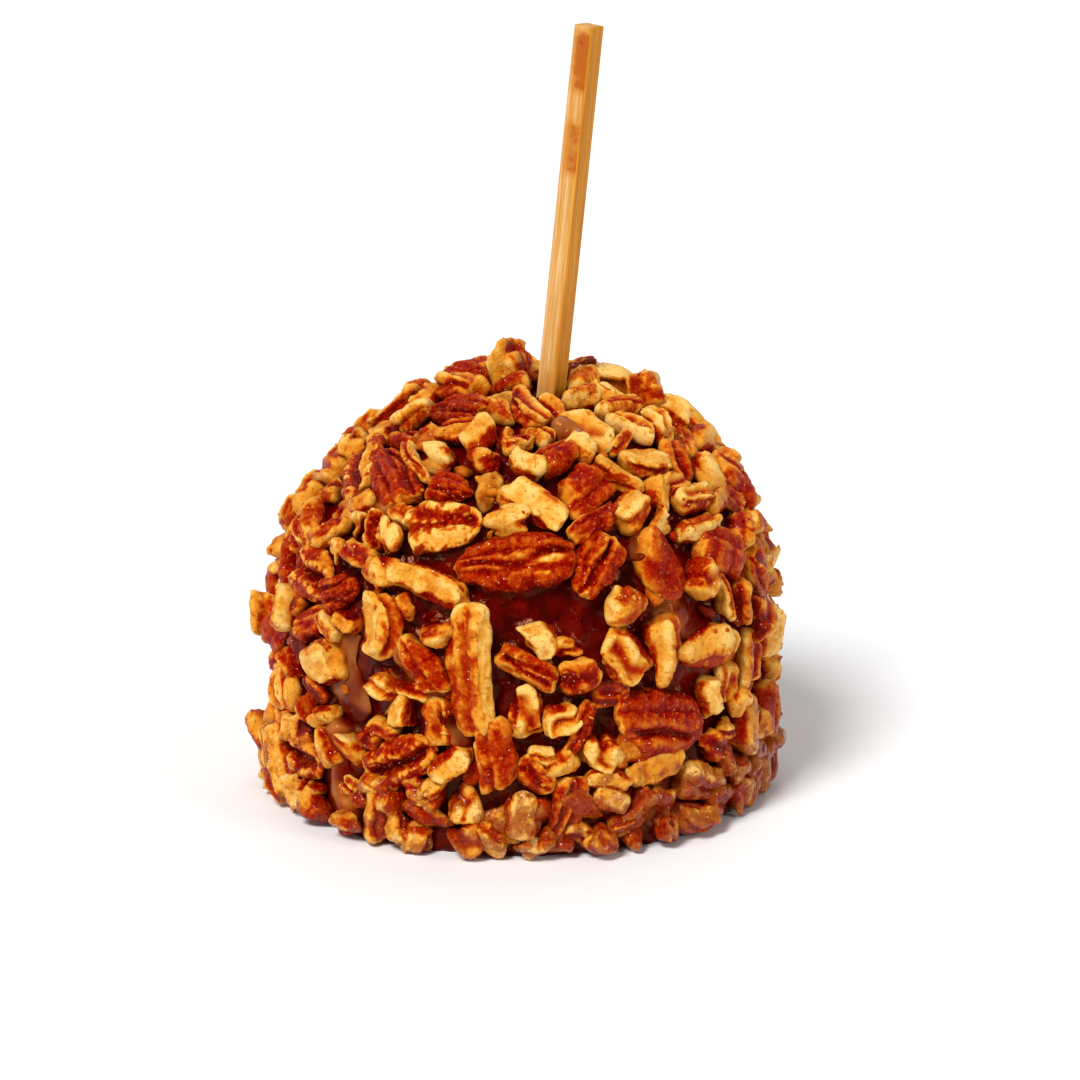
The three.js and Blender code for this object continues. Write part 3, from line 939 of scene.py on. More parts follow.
def placed_pecan(row, number, voxel):
    """A small piece at a place of its own."""
    form, azimuth_1, latitude_1, azimuth_2, latitude_2, width, tone, stand = row
    rng = seeded("placed", number)
    ends = coat_point(heading(azimuth_1, latitude_1)), coat_point(heading(azimuth_2, latitude_2))
    length = (ends[1] - ends[0]).length + BEYOND_ENDS
    direction = (heading(azimuth_1, latitude_1) + heading(azimuth_2, latitude_2)).normalized()
    out = coat_normal(direction)
    along = ends[1] - ends[0]
    along = (along - out * along.dot(out)).normalized()
    across = out.cross(along)
    mesh = chopped(Nuts.kernel, form, length / width, voxel, f"placed {number}")
    natural = extents(mesh)
    scale = [length / natural[0], width / natural[1], 1.0]
    thick = min(natural[2] * math.sqrt(scale[0] * scale[1]), NUT_TOP + SUNK)
    scale[2] = thick / natural[2]
    lift = rng.uniform(0.55, 1.0) * (NUT_TOP + SUNK - thick) + stand
    middle = coat_point(direction, lift - SUNK + thick / 2)
    copy = laid(mesh, middle, along, across, out, scale)
    bpy.data.meshes.remove(mesh)
    found = Nuts.cover.under(middle, along, across, length, width)
    Nuts.cover.mark(found, lift - SUNK + thick)
    return give_tone(copy, rng, direction, tone)


def small_shapes():
    """The chopped shapes that the small pieces are copies of."""
    return {
        form: [chopped(Nuts.kernel, form, aspect, SMALL_VOXEL, f"small {i}") for i in range(count)]
        for form, (count, _, _, aspect) in SMALL_KINDS.items()
    }


PLACE_TRIES = 9
TURN_TRIES = 5
COVERED_COST = 2.1  # how much a covered point counts against a place
BARE_COST = 3.0  # how much a point that should stay bare counts against it


def best_place(rng, length, width, places):
    """The freest of some of the places, with the best turn, for a piece of a size."""
    cover = Nuts.cover
    free = np.flatnonzero(places & ~cover.bare)
    if len(free) == 0:
        return None
    best = None
    for _ in range(PLACE_TRIES):
        i = int(free[rng.randrange(len(free))])
        first = rng.uniform(0, math.pi)
        for step in range(TURN_TRIES):
            turn = first + step * math.pi / TURN_TRIES
            along, across, out = axes_at(cover.headings[i], turn)
            found = cover.under(cover.points[i], along, across, length, width)
            if not found:
                continue
            taken = cover.height[found] > 0
            cost = COVERED_COST * taken.sum() + BARE_COST * cover.bare[found].sum()
            score = (len(found) - cost) / len(found)
            if best is None or score > best[0]:
                best = (score, i, (along, across, out), found)
    return best


RAISED = 0.45  # of the height of what lies under it, by which a small piece is raised
THICKEST = NUT_TOP + 1.2  # mm
HIGHEST = NUT_TOP + 0.8  # mm over the caramel
TILT_ALONG, TILT_ACROSS = 0.3, 0.22  # radians


def small_pecans(shapes, rng, count, sizes, least_score, heap=None):
    """Lays small pieces from the largest to the smallest, and gives their meshes by form.

    They take the caramel's free places, or any place in a heap.
    """
    cover = Nuts.cover
    made = {form: [] for form in shapes}
    plan = []
    for i in range(count):
        form = SMALL_MIX[i % len(SMALL_MIX)]
        _, shortest, longest, _ = SMALL_KINDS[form]
        length = sizes * rng.uniform(shortest, longest)
        plan.append((length, form, rng.randrange(len(shapes[form])), i))
    for length, form, which, i in sorted(plan, reverse=True):
        shape = shapes[form][which]
        natural = extents(shape)
        grow = length / natural[0]
        scale = [grow * rng.uniform(0.9, 1.1) for _ in range(3)]
        width = natural[1] * scale[1]
        places = cover.height == 0 if heap is None else heap
        found = best_place(rng, length, width, places)
        if found is None or found[0] < least_score:
            continue
        _, at, (along, across, out), under = found
        heights = cover.height[under]
        lift = RAISED * float(heights.mean())
        thick = min(natural[2] * scale[2], THICKEST)
        scale[2] = thick / natural[2]
        lift = min(lift, max(0.0, HIGHEST - thick + SUNK))
        tilt = Matrix.Rotation(rng.uniform(-TILT_ALONG, TILT_ALONG), 3, along)
        tilt = tilt @ Matrix.Rotation(rng.uniform(-TILT_ACROSS, TILT_ACROSS), 3, across)
        direction = cover.headings[at]
        middle = coat_point(direction, lift - SUNK + thick / 2)
        copy = laid(shape, middle, tilt @ along, tilt @ across, tilt @ out, scale)
        made[form].append(give_tone(copy, rng, direction))
        cover.mark(under, lift - SUNK + thick)
    return made


def rough_pebble(rng, rounds):
    """A small lump of a few dozen faces, about one unit in radius."""
    bm = bmesh.new()
    bmesh.ops.create_icosphere(bm, subdivisions=rounds, radius=1)
    offset = random_offset(rng)
    for vert in bm.verts:
        vert.co *= 1 + 0.9 * noise.noise(vert.co * 1.3 + offset)
    return mesh_of(bm, "pebble")


def surfaces():
    """What the crumbs can fall on, for finding the outermost surface on a line."""
    graph = bpy.context.evaluated_depsgraph_get()
    names = [name for name in bpy.data.objects.keys() if name.endswith(("_pieces", "_coat"))]
    return [BVHTree.FromObject(bpy.data.objects[name], graph) for name in names]


OUTSIDE = 20.0  # mm over the caramel, clear of every nut
SEARCH = 24.0  # mm inwards from there, to a little under the caramel


def outermost(trees, direction):
    """The point where a line from outside towards the apple's middle first meets it, in mm."""
    start = coat_point(direction, OUTSIDE)
    inwards = -coat_normal(direction)
    hits = [tree.ray_cast(start * MM, inwards, SEARCH * MM) for tree in trees]
    near = min((hit for hit in hits if hit[0]), key=lambda hit: hit[3], default=None)
    return near[0] / MM if near else coat_point(direction)


KEPT_CLEAR = 0.8  # of the lumps that would fall where the caramel is bare
BIT_SIZES = (2.0, 4.6)  # mm
BIT_HEIGHTS = (0.4, 2.0)  # mm over the caramel
CRUMB_SIZES = (0.5, 1.4)  # mm


def scattered(name, count, rng, shapes, sizes, resting, toning):
    """Lumps of some lengths that lie where resting says."""
    cover = Nuts.cover
    copies = []
    for _ in range(count):
        at = rng.randrange(SAMPLES)
        if cover.bare[at] and rng.random() < KEPT_CLEAR:
            continue
        direction = cover.headings[at]
        length = rng.uniform(*sizes)
        width, height = length * rng.uniform(0.45, 0.9), length * rng.uniform(0.4, 0.7)
        scale = Vector((length, width, height)) / 2
        along, across, out = axes_at(direction, rng.uniform(0, math.pi))
        middle = resting(direction) + out * 0.2 * scale.z
        copy = laid(rng.choice(shapes), middle, along, across, out, scale)
        tone = rng.uniform(*toning)
        set_trait(copy, "skin", np.full(len(copy.vertices), rng.random()))
        copies.append(give_tone(copy, rng, direction, tone))
    return joined(copies, name)


def low_bits(count):
    """Bits of pecan lying low in the caramel between the nuts, dark with it and with the painted shade
    there.
    """
    rng = seeded("bits")
    shapes = [rough_pebble(rng, 2) for _ in range(12)]
    return scattered(
        "bits", count, rng, shapes, BIT_SIZES,
        lambda direction: coat_point(direction, rng.uniform(*BIT_HEIGHTS)), (0.0, 0.9),
    )


def crumbs(count):
    """Crumbs and dust of pecan on top of everything."""
    rng = seeded("crumbs")
    shapes = [rough_pebble(rng, 1) for _ in range(8)]
    trees = surfaces()
    return scattered(
        "crumbs", count, rng, shapes, CRUMB_SIZES,
        lambda direction: outermost(trees, direction), (0.5, 1.0),
    )


# ---- Caramel that ran over the nuts ----

# Drips and strands: azimuth and latitude of both ends in degrees, width and height in mm, and how
# milky it is.
STRANDS = (
    (-31, 8, -11, -14, 4.6, 4.2, 0.8),
    (-48, -13, -41, -34, 4.8, 4.8, 0.8),
    (-49, 8, -43, -14, 9.0, 1.6, 0.45),
    (-62, 37, -42, 36, 3.6, 4.4, 0.8),
    (16, 69, 22, 58, 5.0, 5.2, 0.75),
    (54, 46, 54, 36, 2.6, 4.0, 0.75),
    (31, 36, 31, 27, 2.4, 4.2, 0.25),
    (48, 2, 66, -3, 3.0, 3.2, 0.4),
    (17, -20, 42, -34, 5.0, 3.8, 0.7),
)


def strand(row, number):
    """A tapered run of caramel that sags between its ends, in metres."""
    azimuth_1, latitude_1, azimuth_2, latitude_2, width, height, milk = row
    ends = heading(azimuth_1, latitude_1), heading(azimuth_2, latitude_2)
    along = (ends[1] - ends[0]).normalized()
    bm = bmesh.new()
    bmesh.ops.create_uvsphere(bm, u_segments=20, v_segments=30, radius=1)
    for vert in bm.verts:
        side, rise, pole = vert.co
        # The sphere's poles become the ends, and its rings keep their size till near them.
        t = (1 + pole) / 2
        girth = max(1e-6, math.sqrt(max(0.0, 1 - pole * pole)))
        taper = min(1.0, 1.6 * girth) / girth
        direction = ends[0].lerp(ends[1], t).normalized()
        out = coat_normal(direction)
        across = out.cross(along).normalized()
        swell = 1 + 0.35 * noise.noise(Vector((t * 3, number, 0.5)))
        sag = 1 - 0.3 * math.sin(math.pi * t)
        bow = 0.14 * width * math.sin(math.pi * 2 * t + number)
        middle = coat_point(direction, height * sag * 0.4)
        reach = across * (side * taper * width / 2) + out * (rise * taper * height * sag * 0.6)
        vert.co = middle + across * bow + reach * swell
    bmesh.ops.recalc_face_normals(bm, faces=bm.faces)
    bm.normal_update()
    for vert in bm.verts:
        vert.co += vert.normal * 0.4 * noise.noise(vert.co * 0.45 + Vector((0, number, 0)))
    bmesh.ops.scale(bm, verts=bm.verts, vec=(MM, MM, MM))
    mesh = mesh_of(bm, "strand")
    set_trait(mesh, "milk", np.full(len(mesh.vertices), milk))
    return mesh


# ---- Materials ----


def linear(colour):
    """An sRGB hex colour as the linear numbers that a shader takes."""
    channels = [int(colour[i : i + 2], 16) / 255 for i in (1, 3, 5)]
    return (*[c / 12.92 if c <= 0.04045 else ((c + 0.055) / 1.055) ** 2.4 for c in channels], 1.0)


def add(tree, kind, inputs=None, stops=None, **settings):
    """Adds a node with its settings, and fills its inputs or links them to other nodes' outputs.

    The inputs are by label or by number, and stops are a colour ramp's positions and colours.
    """
    node = tree.nodes.new(kind)
    for name, value in settings.items():
        setattr(node, name, value)
    for key, value in (inputs or {}).items():
        if isinstance(value, bpy.types.Node):
            value = value.outputs[0]
        if isinstance(value, bpy.types.NodeSocket):
            tree.links.new(value, node.inputs[key])
        else:
            node.inputs[key].default_value = value
    for i, (position, colour) in enumerate(stops or ()):
        elements = node.color_ramp.elements
        element = elements[i] if i < 2 else elements.new(position)
        element.position = position
        element.color = colour
    return node


def new_material(name):
    material = bpy.data.materials.new(name)
    material.use_nodes = True
    material.node_tree.nodes.clear()
    return material, material.node_tree


def toasted_pecan(colours):
    """Toasted pecan: ribbed brown skin with a dull sheen, cream flesh where it broke.

    The flesh is waxy, so light goes a little way in, and caramel has crept up from below; the
    darkening towards the caramel is partly that caramel and partly painted shade low between the nuts.
    """
    material, tree = new_material("toasted pecan")
    place = add(tree, "ShaderNodeTexCoord").outputs["Object"]
    skin, hollow, edge, furrow, tone, lift, glaze = [
        add(tree, "ShaderNodeAttribute", attribute_name=name).outputs["Fac"]
        for name in ("skin", "hollow", "edge", "furrow", "tone", "lift", "glaze")
    ]
    # Patches are 3 mm across, mottling is 0.8 mm and grain 0.3 mm. The pale fibres in the skin lie
    # 1.2 mm apart, and the dark pits in the flesh are 0.4 mm across.
    patches, mottling, grain, fibres, pits = [
        add(
            tree, "ShaderNodeTexNoise",
            {
                "Vector": place, "Scale": 1 / (size * MM), "Detail": detail,
                "Roughness": rough, "Distortion": distortion,
            },
        )
        for size, detail, rough, distortion in (
            (3.0, 3.0, 0.6, 0.0),
            (0.8, 3.0, 0.65, 0.0),
            (0.3, 2.0, 0.6, 0.0),
            (1.2, 2.0, 0.6, 0.8),
            (0.7, 1.5, 0.5, 0.0),
        )
    ]
    # The skin has fine ribs across the kernel, about 1.1 mm apart.
    own = add(tree, "ShaderNodeAttribute", attribute_name="own").outputs["Vector"]
    across = add(tree, "ShaderNodeMapping", {"Vector": own, "Scale": (0.9, 0.22, 0.22)})
    ribs = add(
        tree, "ShaderNodeTexNoise",
        {"Vector": across, "Scale": 1.0, "Detail": 2.0, "Roughness": 0.5},
    )
    ribs = add(tree, "ShaderNodeMath", {0: ribs, 1: 0.5}, operation="SUBTRACT")
    ribs = add(tree, "ShaderNodeMath", {0: ribs, 1: skin}, operation="MULTIPLY")
    # The foot of a piece is soaked with caramel, up to a wavering line, and wet lower down. This
    # darkening, and the caramel colour near the caramel, are partly the caramel's own colour and
    # partly painted shade low between the nuts.
    height = add(tree, "ShaderNodeMath", {0: patches, 1: 2.6, 2: -1.3}, operation="MULTIPLY_ADD")
    height = add(tree, "ShaderNodeMath", {0: lift, 1: height}, operation="ADD")
    soak_and_shade, wet_and_shade = [
        add(
            tree, "ShaderNodeMapRange", {"Value": height, "From Min": none, "From Max": full},
            interpolation_type="SMOOTHSTEP",
        )
        for none, full in ((4.6, 0.8), (2.4, 0.3))
    ]

    # Cream flesh at 0 darkens through orange and brown to the furrows at 1. The furrow and hollow
    # shares are partly the skin that lies in grooves and partly painted shade in furrows and hollows;
    # the edge share paints shade into creases and pales sharp rims, partly worn edges and partly a
    # painted highlight; the rib share paints a highlight on the crests of the skin's ribs.
    brown = 0.085
    for value, share in (
        (skin, 0.42),
        (furrow, 0.22),
        (hollow, 0.24),
        (edge, 0.5),
        (tone, -0.3),
        (patches, 0.45),
        (mottling, 0.26),
        (soak_and_shade, 0.2),
        (ribs, -0.5),
    ):
        sum_inputs = {0: value, 1: share, 2: brown}
        brown = add(tree, "ShaderNodeMath", sum_inputs, operation="MULTIPLY_ADD")
    colour = add(
        tree, "ShaderNodeValToRGB", {"Fac": brown},
        stops=(
            (0.12, colours.flesh_light),
            (0.26, colours.flesh),
            (0.4, colours.flesh_dark),
            (0.52, colours.amber),
            (0.66, colours.skin),
            (0.82, colours.skin_dark),
            (1.0, colours.furrow),
        ),
    )
    # The net of paler fibres shows on the skin's ridges.
    net = add(tree, "ShaderNodeMath", {0: fibres, 1: 0.5}, operation="SUBTRACT")
    net = add(tree, "ShaderNodeMath", {0: net}, operation="ABSOLUTE")
    net = add(tree, "ShaderNodeMapRange", {"Value": net, "From Min": 0.035, "From Max": 0.0})
    net = add(tree, "ShaderNodeMath", {0: net, 1: skin}, operation="MULTIPLY")
    raised = add(
        tree, "ShaderNodeMapRange",
        {"Value": hollow, "From Min": 0.1, "From Max": -0.1, "To Max": 0.3},
    )
    pits = add(
        tree, "ShaderNodeMapRange",
        {"Value": pits, "From Min": 0.59, "From Max": 0.7, "To Max": 0.7},
    )
    # Some skins have a purple bloom.
    bloom = add(
        tree, "ShaderNodeMapRange",
        {"Value": tone, "From Min": 0.14, "From Max": 0.04, "To Max": 0.7},
    )
    # Near the foot, and where the caramel ran thick, a film of it covers the whole piece.
    glazed = add(tree, "ShaderNodeMath", {0: patches, 1: 2.6, 2: -1.4}, operation="MULTIPLY_ADD")
    glazed = add(tree, "ShaderNodeMath", {0: glazed, 1: glaze}, operation="ADD")
    glazed = add(
        tree, "ShaderNodeMapRange",
        {"Value": glazed, "From Min": 0.4, "From Max": 0.95, "To Max": 0.75},
        interpolation_type="SMOOTHSTEP",
    )
    thick = add(
        tree, "ShaderNodeMapRange", {"Value": mottling, "From Min": 0.42, "From Max": 0.6}
    )
    syrup = add(
        tree, "ShaderNodeMix", {0: thick, 6: colours.glaze, 7: colours.caramel_thin},
        data_type="RGBA",
    )
    # Grains of salt, 0.2 mm across, lie scattered on everything. The near-white specks are partly salt
    # and partly painted glints.
    cells = {"Vector": place, "Scale": 1 / (0.9 * MM)}
    salt = add(tree, "ShaderNodeTexVoronoi", cells).outputs
    reach = add(tree, "ShaderNodeSeparateXYZ", {0: salt["Color"]})
    reach = add(tree, "ShaderNodeMath", {0: reach, 1: 0.27, 2: -0.12}, operation="MULTIPLY_ADD")
    grains = add(tree, "ShaderNodeMath", {0: salt["Distance"], 1: reach}, operation="LESS_THAN")
    # film is the caramel colour on the wet foot of a piece: partly caramel and partly painted shade.
    net, bloom, film, wetness, grains = [
        add(tree, "ShaderNodeMath", {0: value, 1: share}, operation="MULTIPLY")
        for value, share in (
            (net, raised),
            (bloom, skin),
            (wet_and_shade, 0.85),
            (glazed, 0.45),
            (grains, 0.9),
        )
    ]
    for share, layer in (
        (net, colours.flesh_dark),
        (pits, colours.amber),
        (bloom, colours.bloom),
        (glazed, syrup.outputs[2]),
        (film, colours.caramel),
        (grains, colours.salt),
    ):
        mix = add(tree, "ShaderNodeMix", {0: share, 6: colour, 7: layer}, data_type="RGBA")
        colour = mix.outputs[2]

    # Skin and what caramel wets shine more than dry flesh.
    rough = 0.2
    for value, share in ((mottling, 0.4), (soak_and_shade, -0.2), (glazed, -0.35)):
        rough = add(
            tree, "ShaderNodeMath", {0: value, 1: share, 2: rough}, operation="MULTIPLY_ADD",
            use_clamp=True,
        )
    relief = 0.0
    for value, share in ((mottling, 1.7), (grain, 0.7), (ribs, 2.5)):
        sum_inputs = {0: value, 1: share, 2: relief}
        relief = add(tree, "ShaderNodeMath", sum_inputs, operation="MULTIPLY_ADD")
    bump = add(
        tree, "ShaderNodeBump", {"Height": relief, "Distance": 0.2 * MM, "Strength": 0.9}
    )
    shader = add(
        tree, "ShaderNodeBsdfPrincipled",
        {
            "Base Color": colour,
            "Roughness": rough,
            "IOR": 1.47,
            "Specular IOR Level": 0.36,
            "Specular Tint": colours.sheen,
            "Subsurface Weight": 0.25,
            "Subsurface Radius": (1.0, 0.3, 0.08),
            "Subsurface Scale": 1.6 * MM,
            "Coat Weight": wetness,
            "Coat Roughness": 0.12,
            "Coat IOR": 1.45,
            "Normal": bump,
        },
    )
    add(tree, "ShaderNodeOutputMaterial", {"Surface": shader})
    return material


def cooked_caramel(colours):
    """Cooked caramel: deep brown sugar syrup, poured and set with a glassy surface.

    Where it ran thick over the nuts it is paler and milky; on the poured caramel that pale colour is
    partly its own and partly a painted reflection of the soft lights.
    """
    material, tree = new_material("cooked caramel")
    place = add(tree, "ShaderNodeTexCoord").outputs["Object"]
    milk = add(tree, "ShaderNodeAttribute", attribute_name="milk").outputs["Fac"]
    # Clouds are 12 mm across, streaks 3.5 mm, clumps of bubbles 4.5 mm and ripples 3 mm. The sugar
    # in it makes fine grains, 0.4 mm across.
    clouds, streaks, bubbles, ripples, sugar = [
        add(
            tree, "ShaderNodeTexNoise",
            {
                "Vector": place, "Scale": 1 / (size * MM), "Detail": detail,
                "Roughness": rough, "Distortion": distortion,
            },
        )
        for size, detail, rough, distortion in (
            (12.0, 2.0, 0.5, 0.0),
            (3.5, 3.0, 0.65, 0.5),
            (4.5, 1.5, 0.45, 0.0),
            (3.0, 1.3, 0.5, 0.4),
            (0.7, 2.0, 0.6, 0.0),
        )
    ]
    thin = 0.0
    for value, share in ((streaks, 0.7), (clouds, 0.4)):
        sum_inputs = {0: value, 1: share, 2: thin}
        thin = add(tree, "ShaderNodeMath", sum_inputs, operation="MULTIPLY_ADD")
    clear, cloudy = [
        add(tree, "ShaderNodeValToRGB", {"Fac": value}, stops=stops)
        for value, stops in (
            (
                thin,
                (
                    (0.46, colours.caramel_deep),
                    (0.6, colours.caramel),
                    (0.76, colours.caramel_thin),
                ),
            ),
            (
                bubbles,
                (
                    (0.4, colours.caramel_thin),
                    (0.54, colours.caramel_milky),
                    (0.7, colours.froth),
                ),
            ),
        )
    ]
    # The milky colour is partly the caramel's own and partly a painted reflection of the soft lights.
    milky = add(tree, "ShaderNodeMapRange", {"Value": clouds, "From Min": 0.3, "From Max": 0.5})
    milky = add(
        tree, "ShaderNodeMath", {0: milky, 1: milk}, operation="MULTIPLY", use_clamp=True
    )
    colour = add(tree, "ShaderNodeMix", {0: milky, 6: clear, 7: cloudy}, data_type="RGBA")
    bump = add(
        tree, "ShaderNodeBump", {"Height": ripples, "Distance": 0.6 * MM, "Strength": 0.6}
    )
    # The grains show where it isn't milky.
    grainy = add(tree, "ShaderNodeMath", {0: milky, 1: -0.8, 2: 1.0}, operation="MULTIPLY_ADD")
    grainy = add(tree, "ShaderNodeMath", {0: sugar, 1: grainy}, operation="MULTIPLY")
    bump = add(
        tree, "ShaderNodeBump",
        {"Height": grainy, "Distance": 0.12 * MM, "Strength": 0.8, "Normal": bump},
    )
    shader = add(
        tree, "ShaderNodeBsdfPrincipled",
        {
            "Base Color": colour.outputs[2],
            "Roughness": 0.14,
            "IOR": 1.49,
            "Specular IOR Level": 0.32,
            "Specular Tint": colours.gloss,
            "Subsurface Weight": 0.1,
            "Subsurface Radius": (1.0, 0.2, 0.05),
            "Subsurface Scale": 1.5 * MM,
            "Normal": bump,
        },
    )
    add(tree, "ShaderNodeOutputMaterial", {"Surface": shader})
    return material


# Stains on the stick's front: the distance of each from the top end, its reach in mm, and how
# much it covers.
STAINS = ((6.6, 5.6, 1.2), (22.4, 5.2, 0.92), (68.0, 4.0, 0.5))


def split_bamboo(colours):
    """Split bamboo: straight pale fibres sawn square, unvarnished, stained where caramel touched."""
    material, tree = new_material("split bamboo")
    rod = add(tree, "ShaderNodeAttribute", attribute_name="rod").outputs["Vector"]
    # Fibre bundles are about 0.35 mm wide and run the whole stick; rod is in millimetres.
    fibres = add(tree, "ShaderNodeMapping", {"Vector": rod, "Scale": (1.0, 1.0, 0.02)})
    bundles, hairs, blots, drops = [
        add(
            tree, "ShaderNodeTexNoise",
            {"Vector": place, "Scale": scale, "Detail": detail, "Roughness": rough},
        )
        for place, scale, detail, rough in (
            (fibres, 1.6, 4.0, 0.7),
            (fibres, 6.0, 2.0, 0.6),
            (rod, 0.28, 3.0, 0.6),
            (rod, 0.9, 1.0, 0.5),
        )
    ]
    stripes = 0.0
    for value, share in ((hairs, 0.4), (bundles, 0.6)):
        sum_inputs = {0: value, 1: share, 2: stripes}
        stripes = add(tree, "ShaderNodeMath", sum_inputs, operation="MULTIPLY_ADD")
    wood = add(
        tree, "ShaderNodeValToRGB", {"Fac": stripes},
        stops=((0.34, colours.bamboo_dark), (0.5, colours.bamboo), (0.64, colours.bamboo_light)),
    )
    # The side that faces right is tinted darker and more golden: painted shade on that side of the
    # stick.
    sides = add(tree, "ShaderNodeSeparateXYZ", {0: rod}).outputs
    shaded_side = add(
        tree, "ShaderNodeMapRange",
        {"Value": sides[0], "From Min": 0.3 * STICK_WIDTH, "From Max": 0.46 * STICK_WIDTH},
    )
    wood = add(
        tree, "ShaderNodeMix", {0: shaded_side, 6: wood, 7: colours.bamboo_rind}, data_type="RGBA",
        blend_type="MULTIPLY",
    )
    blots = add(tree, "ShaderNodeMath", {0: blots, 1: 1.8, 2: 0.25}, operation="MULTIPLY_ADD")
    stain = 0.0
    for below_top, reach, amount in STAINS:
        middle = STICK_LENGTH / 2 - below_top
        away = add(tree, "ShaderNodeMath", {0: sides[2], 1: middle}, operation="SUBTRACT")
        away = add(tree, "ShaderNodeMath", {0: away}, operation="ABSOLUTE")
        near = add(
            tree, "ShaderNodeMapRange",
            {"Value": away, "From Min": 1.15 * reach, "From Max": 0.75 * reach, "To Max": amount},
        )
        spot = add(tree, "ShaderNodeMath", {0: near, 1: blots}, operation="MULTIPLY")
        stain = add(tree, "ShaderNodeMath", {0: spot, 1: stain}, operation="MAXIMUM")
    # They lie on the front, thickest towards its right edge.
    front = add(tree, "ShaderNodeMapRange", {"Value": shaded_side, "From Min": 1.0, "From Max": 0.6})
    edge = add(
        tree, "ShaderNodeMapRange",
        {"Value": sides[0], "From Min": -0.6 * STICK_WIDTH, "From Max": 0.0, "To Min": 0.2},
    )
    for share in (front, edge):
        stain = add(tree, "ShaderNodeMath", {0: stain, 1: share}, operation="MULTIPLY")
    stain = add(tree, "ShaderNodeMapRange", {"Value": stain, "From Max": 1.1, "To Max": 0.94})
    thick = add(tree, "ShaderNodeMapRange", {"Value": stain, "From Min": 0.55, "From Max": 1.0})
    drops = add(tree, "ShaderNodeMapRange", {"Value": drops, "From Min": 0.64, "From Max": 0.7})
    drops = add(tree, "ShaderNodeMath", {0: drops, 1: stain}, operation="MULTIPLY")
    spill = colours.stain
    for share, layer in ((thick, colours.stain_dark), (drops, colours.skin)):
        mix = add(tree, "ShaderNodeMix", {0: share, 6: spill, 7: layer}, data_type="RGBA")
        spill = mix.outputs[2]
    colour = add(
        tree, "ShaderNodeMix", {0: stain, 6: wood.outputs[2], 7: spill}, data_type="RGBA"
    )
    rough = add(tree, "ShaderNodeMath", {0: stain, 1: -0.3, 2: 0.6}, operation="MULTIPLY_ADD")
    bump = add(
        tree, "ShaderNodeBump", {"Height": stripes, "Distance": 0.12 * MM, "Strength": 0.7}
    )
    shader = add(
        tree, "ShaderNodeBsdfPrincipled",
        {
            "Base Color": colour.outputs[2],
            "Roughness": rough,
            "IOR": 1.5,
            "Normal": bump,
            "Specular Tint": colours.bamboo_light,
        },
    )
    add(tree, "ShaderNodeOutputMaterial", {"Surface": shader})
    return material


def matt_floor(colours):
    """Pale matt board under the apple."""
    material, tree = new_material("pale matt floor")
    shader = add(
        tree, "ShaderNodeBsdfPrincipled",
        {"Base Color": colours.floor, "Roughness": 0.9, "IOR": 1.45},
    )
    add(tree, "ShaderNodeOutputMaterial", {"Surface": shader})
    return material


# ---- Sizes and colours that a user would change ----


def size_property(name, description, millimetres):
    return FloatProperty(
        name=name, description=description, default=millimetres * MM, unit="LENGTH"
    )


def count_property(name, description, count):
    return IntProperty(name=name, description=description, default=count, subtype="UNSIGNED")


def colour_property(name, description, colour):
    return FloatVectorProperty(
        name=name, description=description, default=linear(colour), size=4, subtype="COLOR",
        min=0, max=1,
    )


class AppleSizes(bpy.types.PropertyGroup):
    """Sizes of the caramel and numbers of the small pieces."""

    wave: size_property("Caramel waves", "How far the poured caramel rises and falls", 0.6)
    creep: size_property("Caramel between nuts", "How far it stands up between the nuts", 0.9)
    collar: size_property("Caramel collar", "How far the caramel climbs the stick", 2.2)
    small_count: count_property("Small pieces", "How many small pecan pieces are tried", 300)
    heap_count: count_property(
        "Heaped pecans", "How many small pieces are heaped over the others round the foot", 60
    )
    bit_count: count_property("Bits", "How many bits low in the caramel are tried", 140)
    crumb_count: count_property("Crumbs", "How many crumbs on the nuts and caramel are tried", 500)


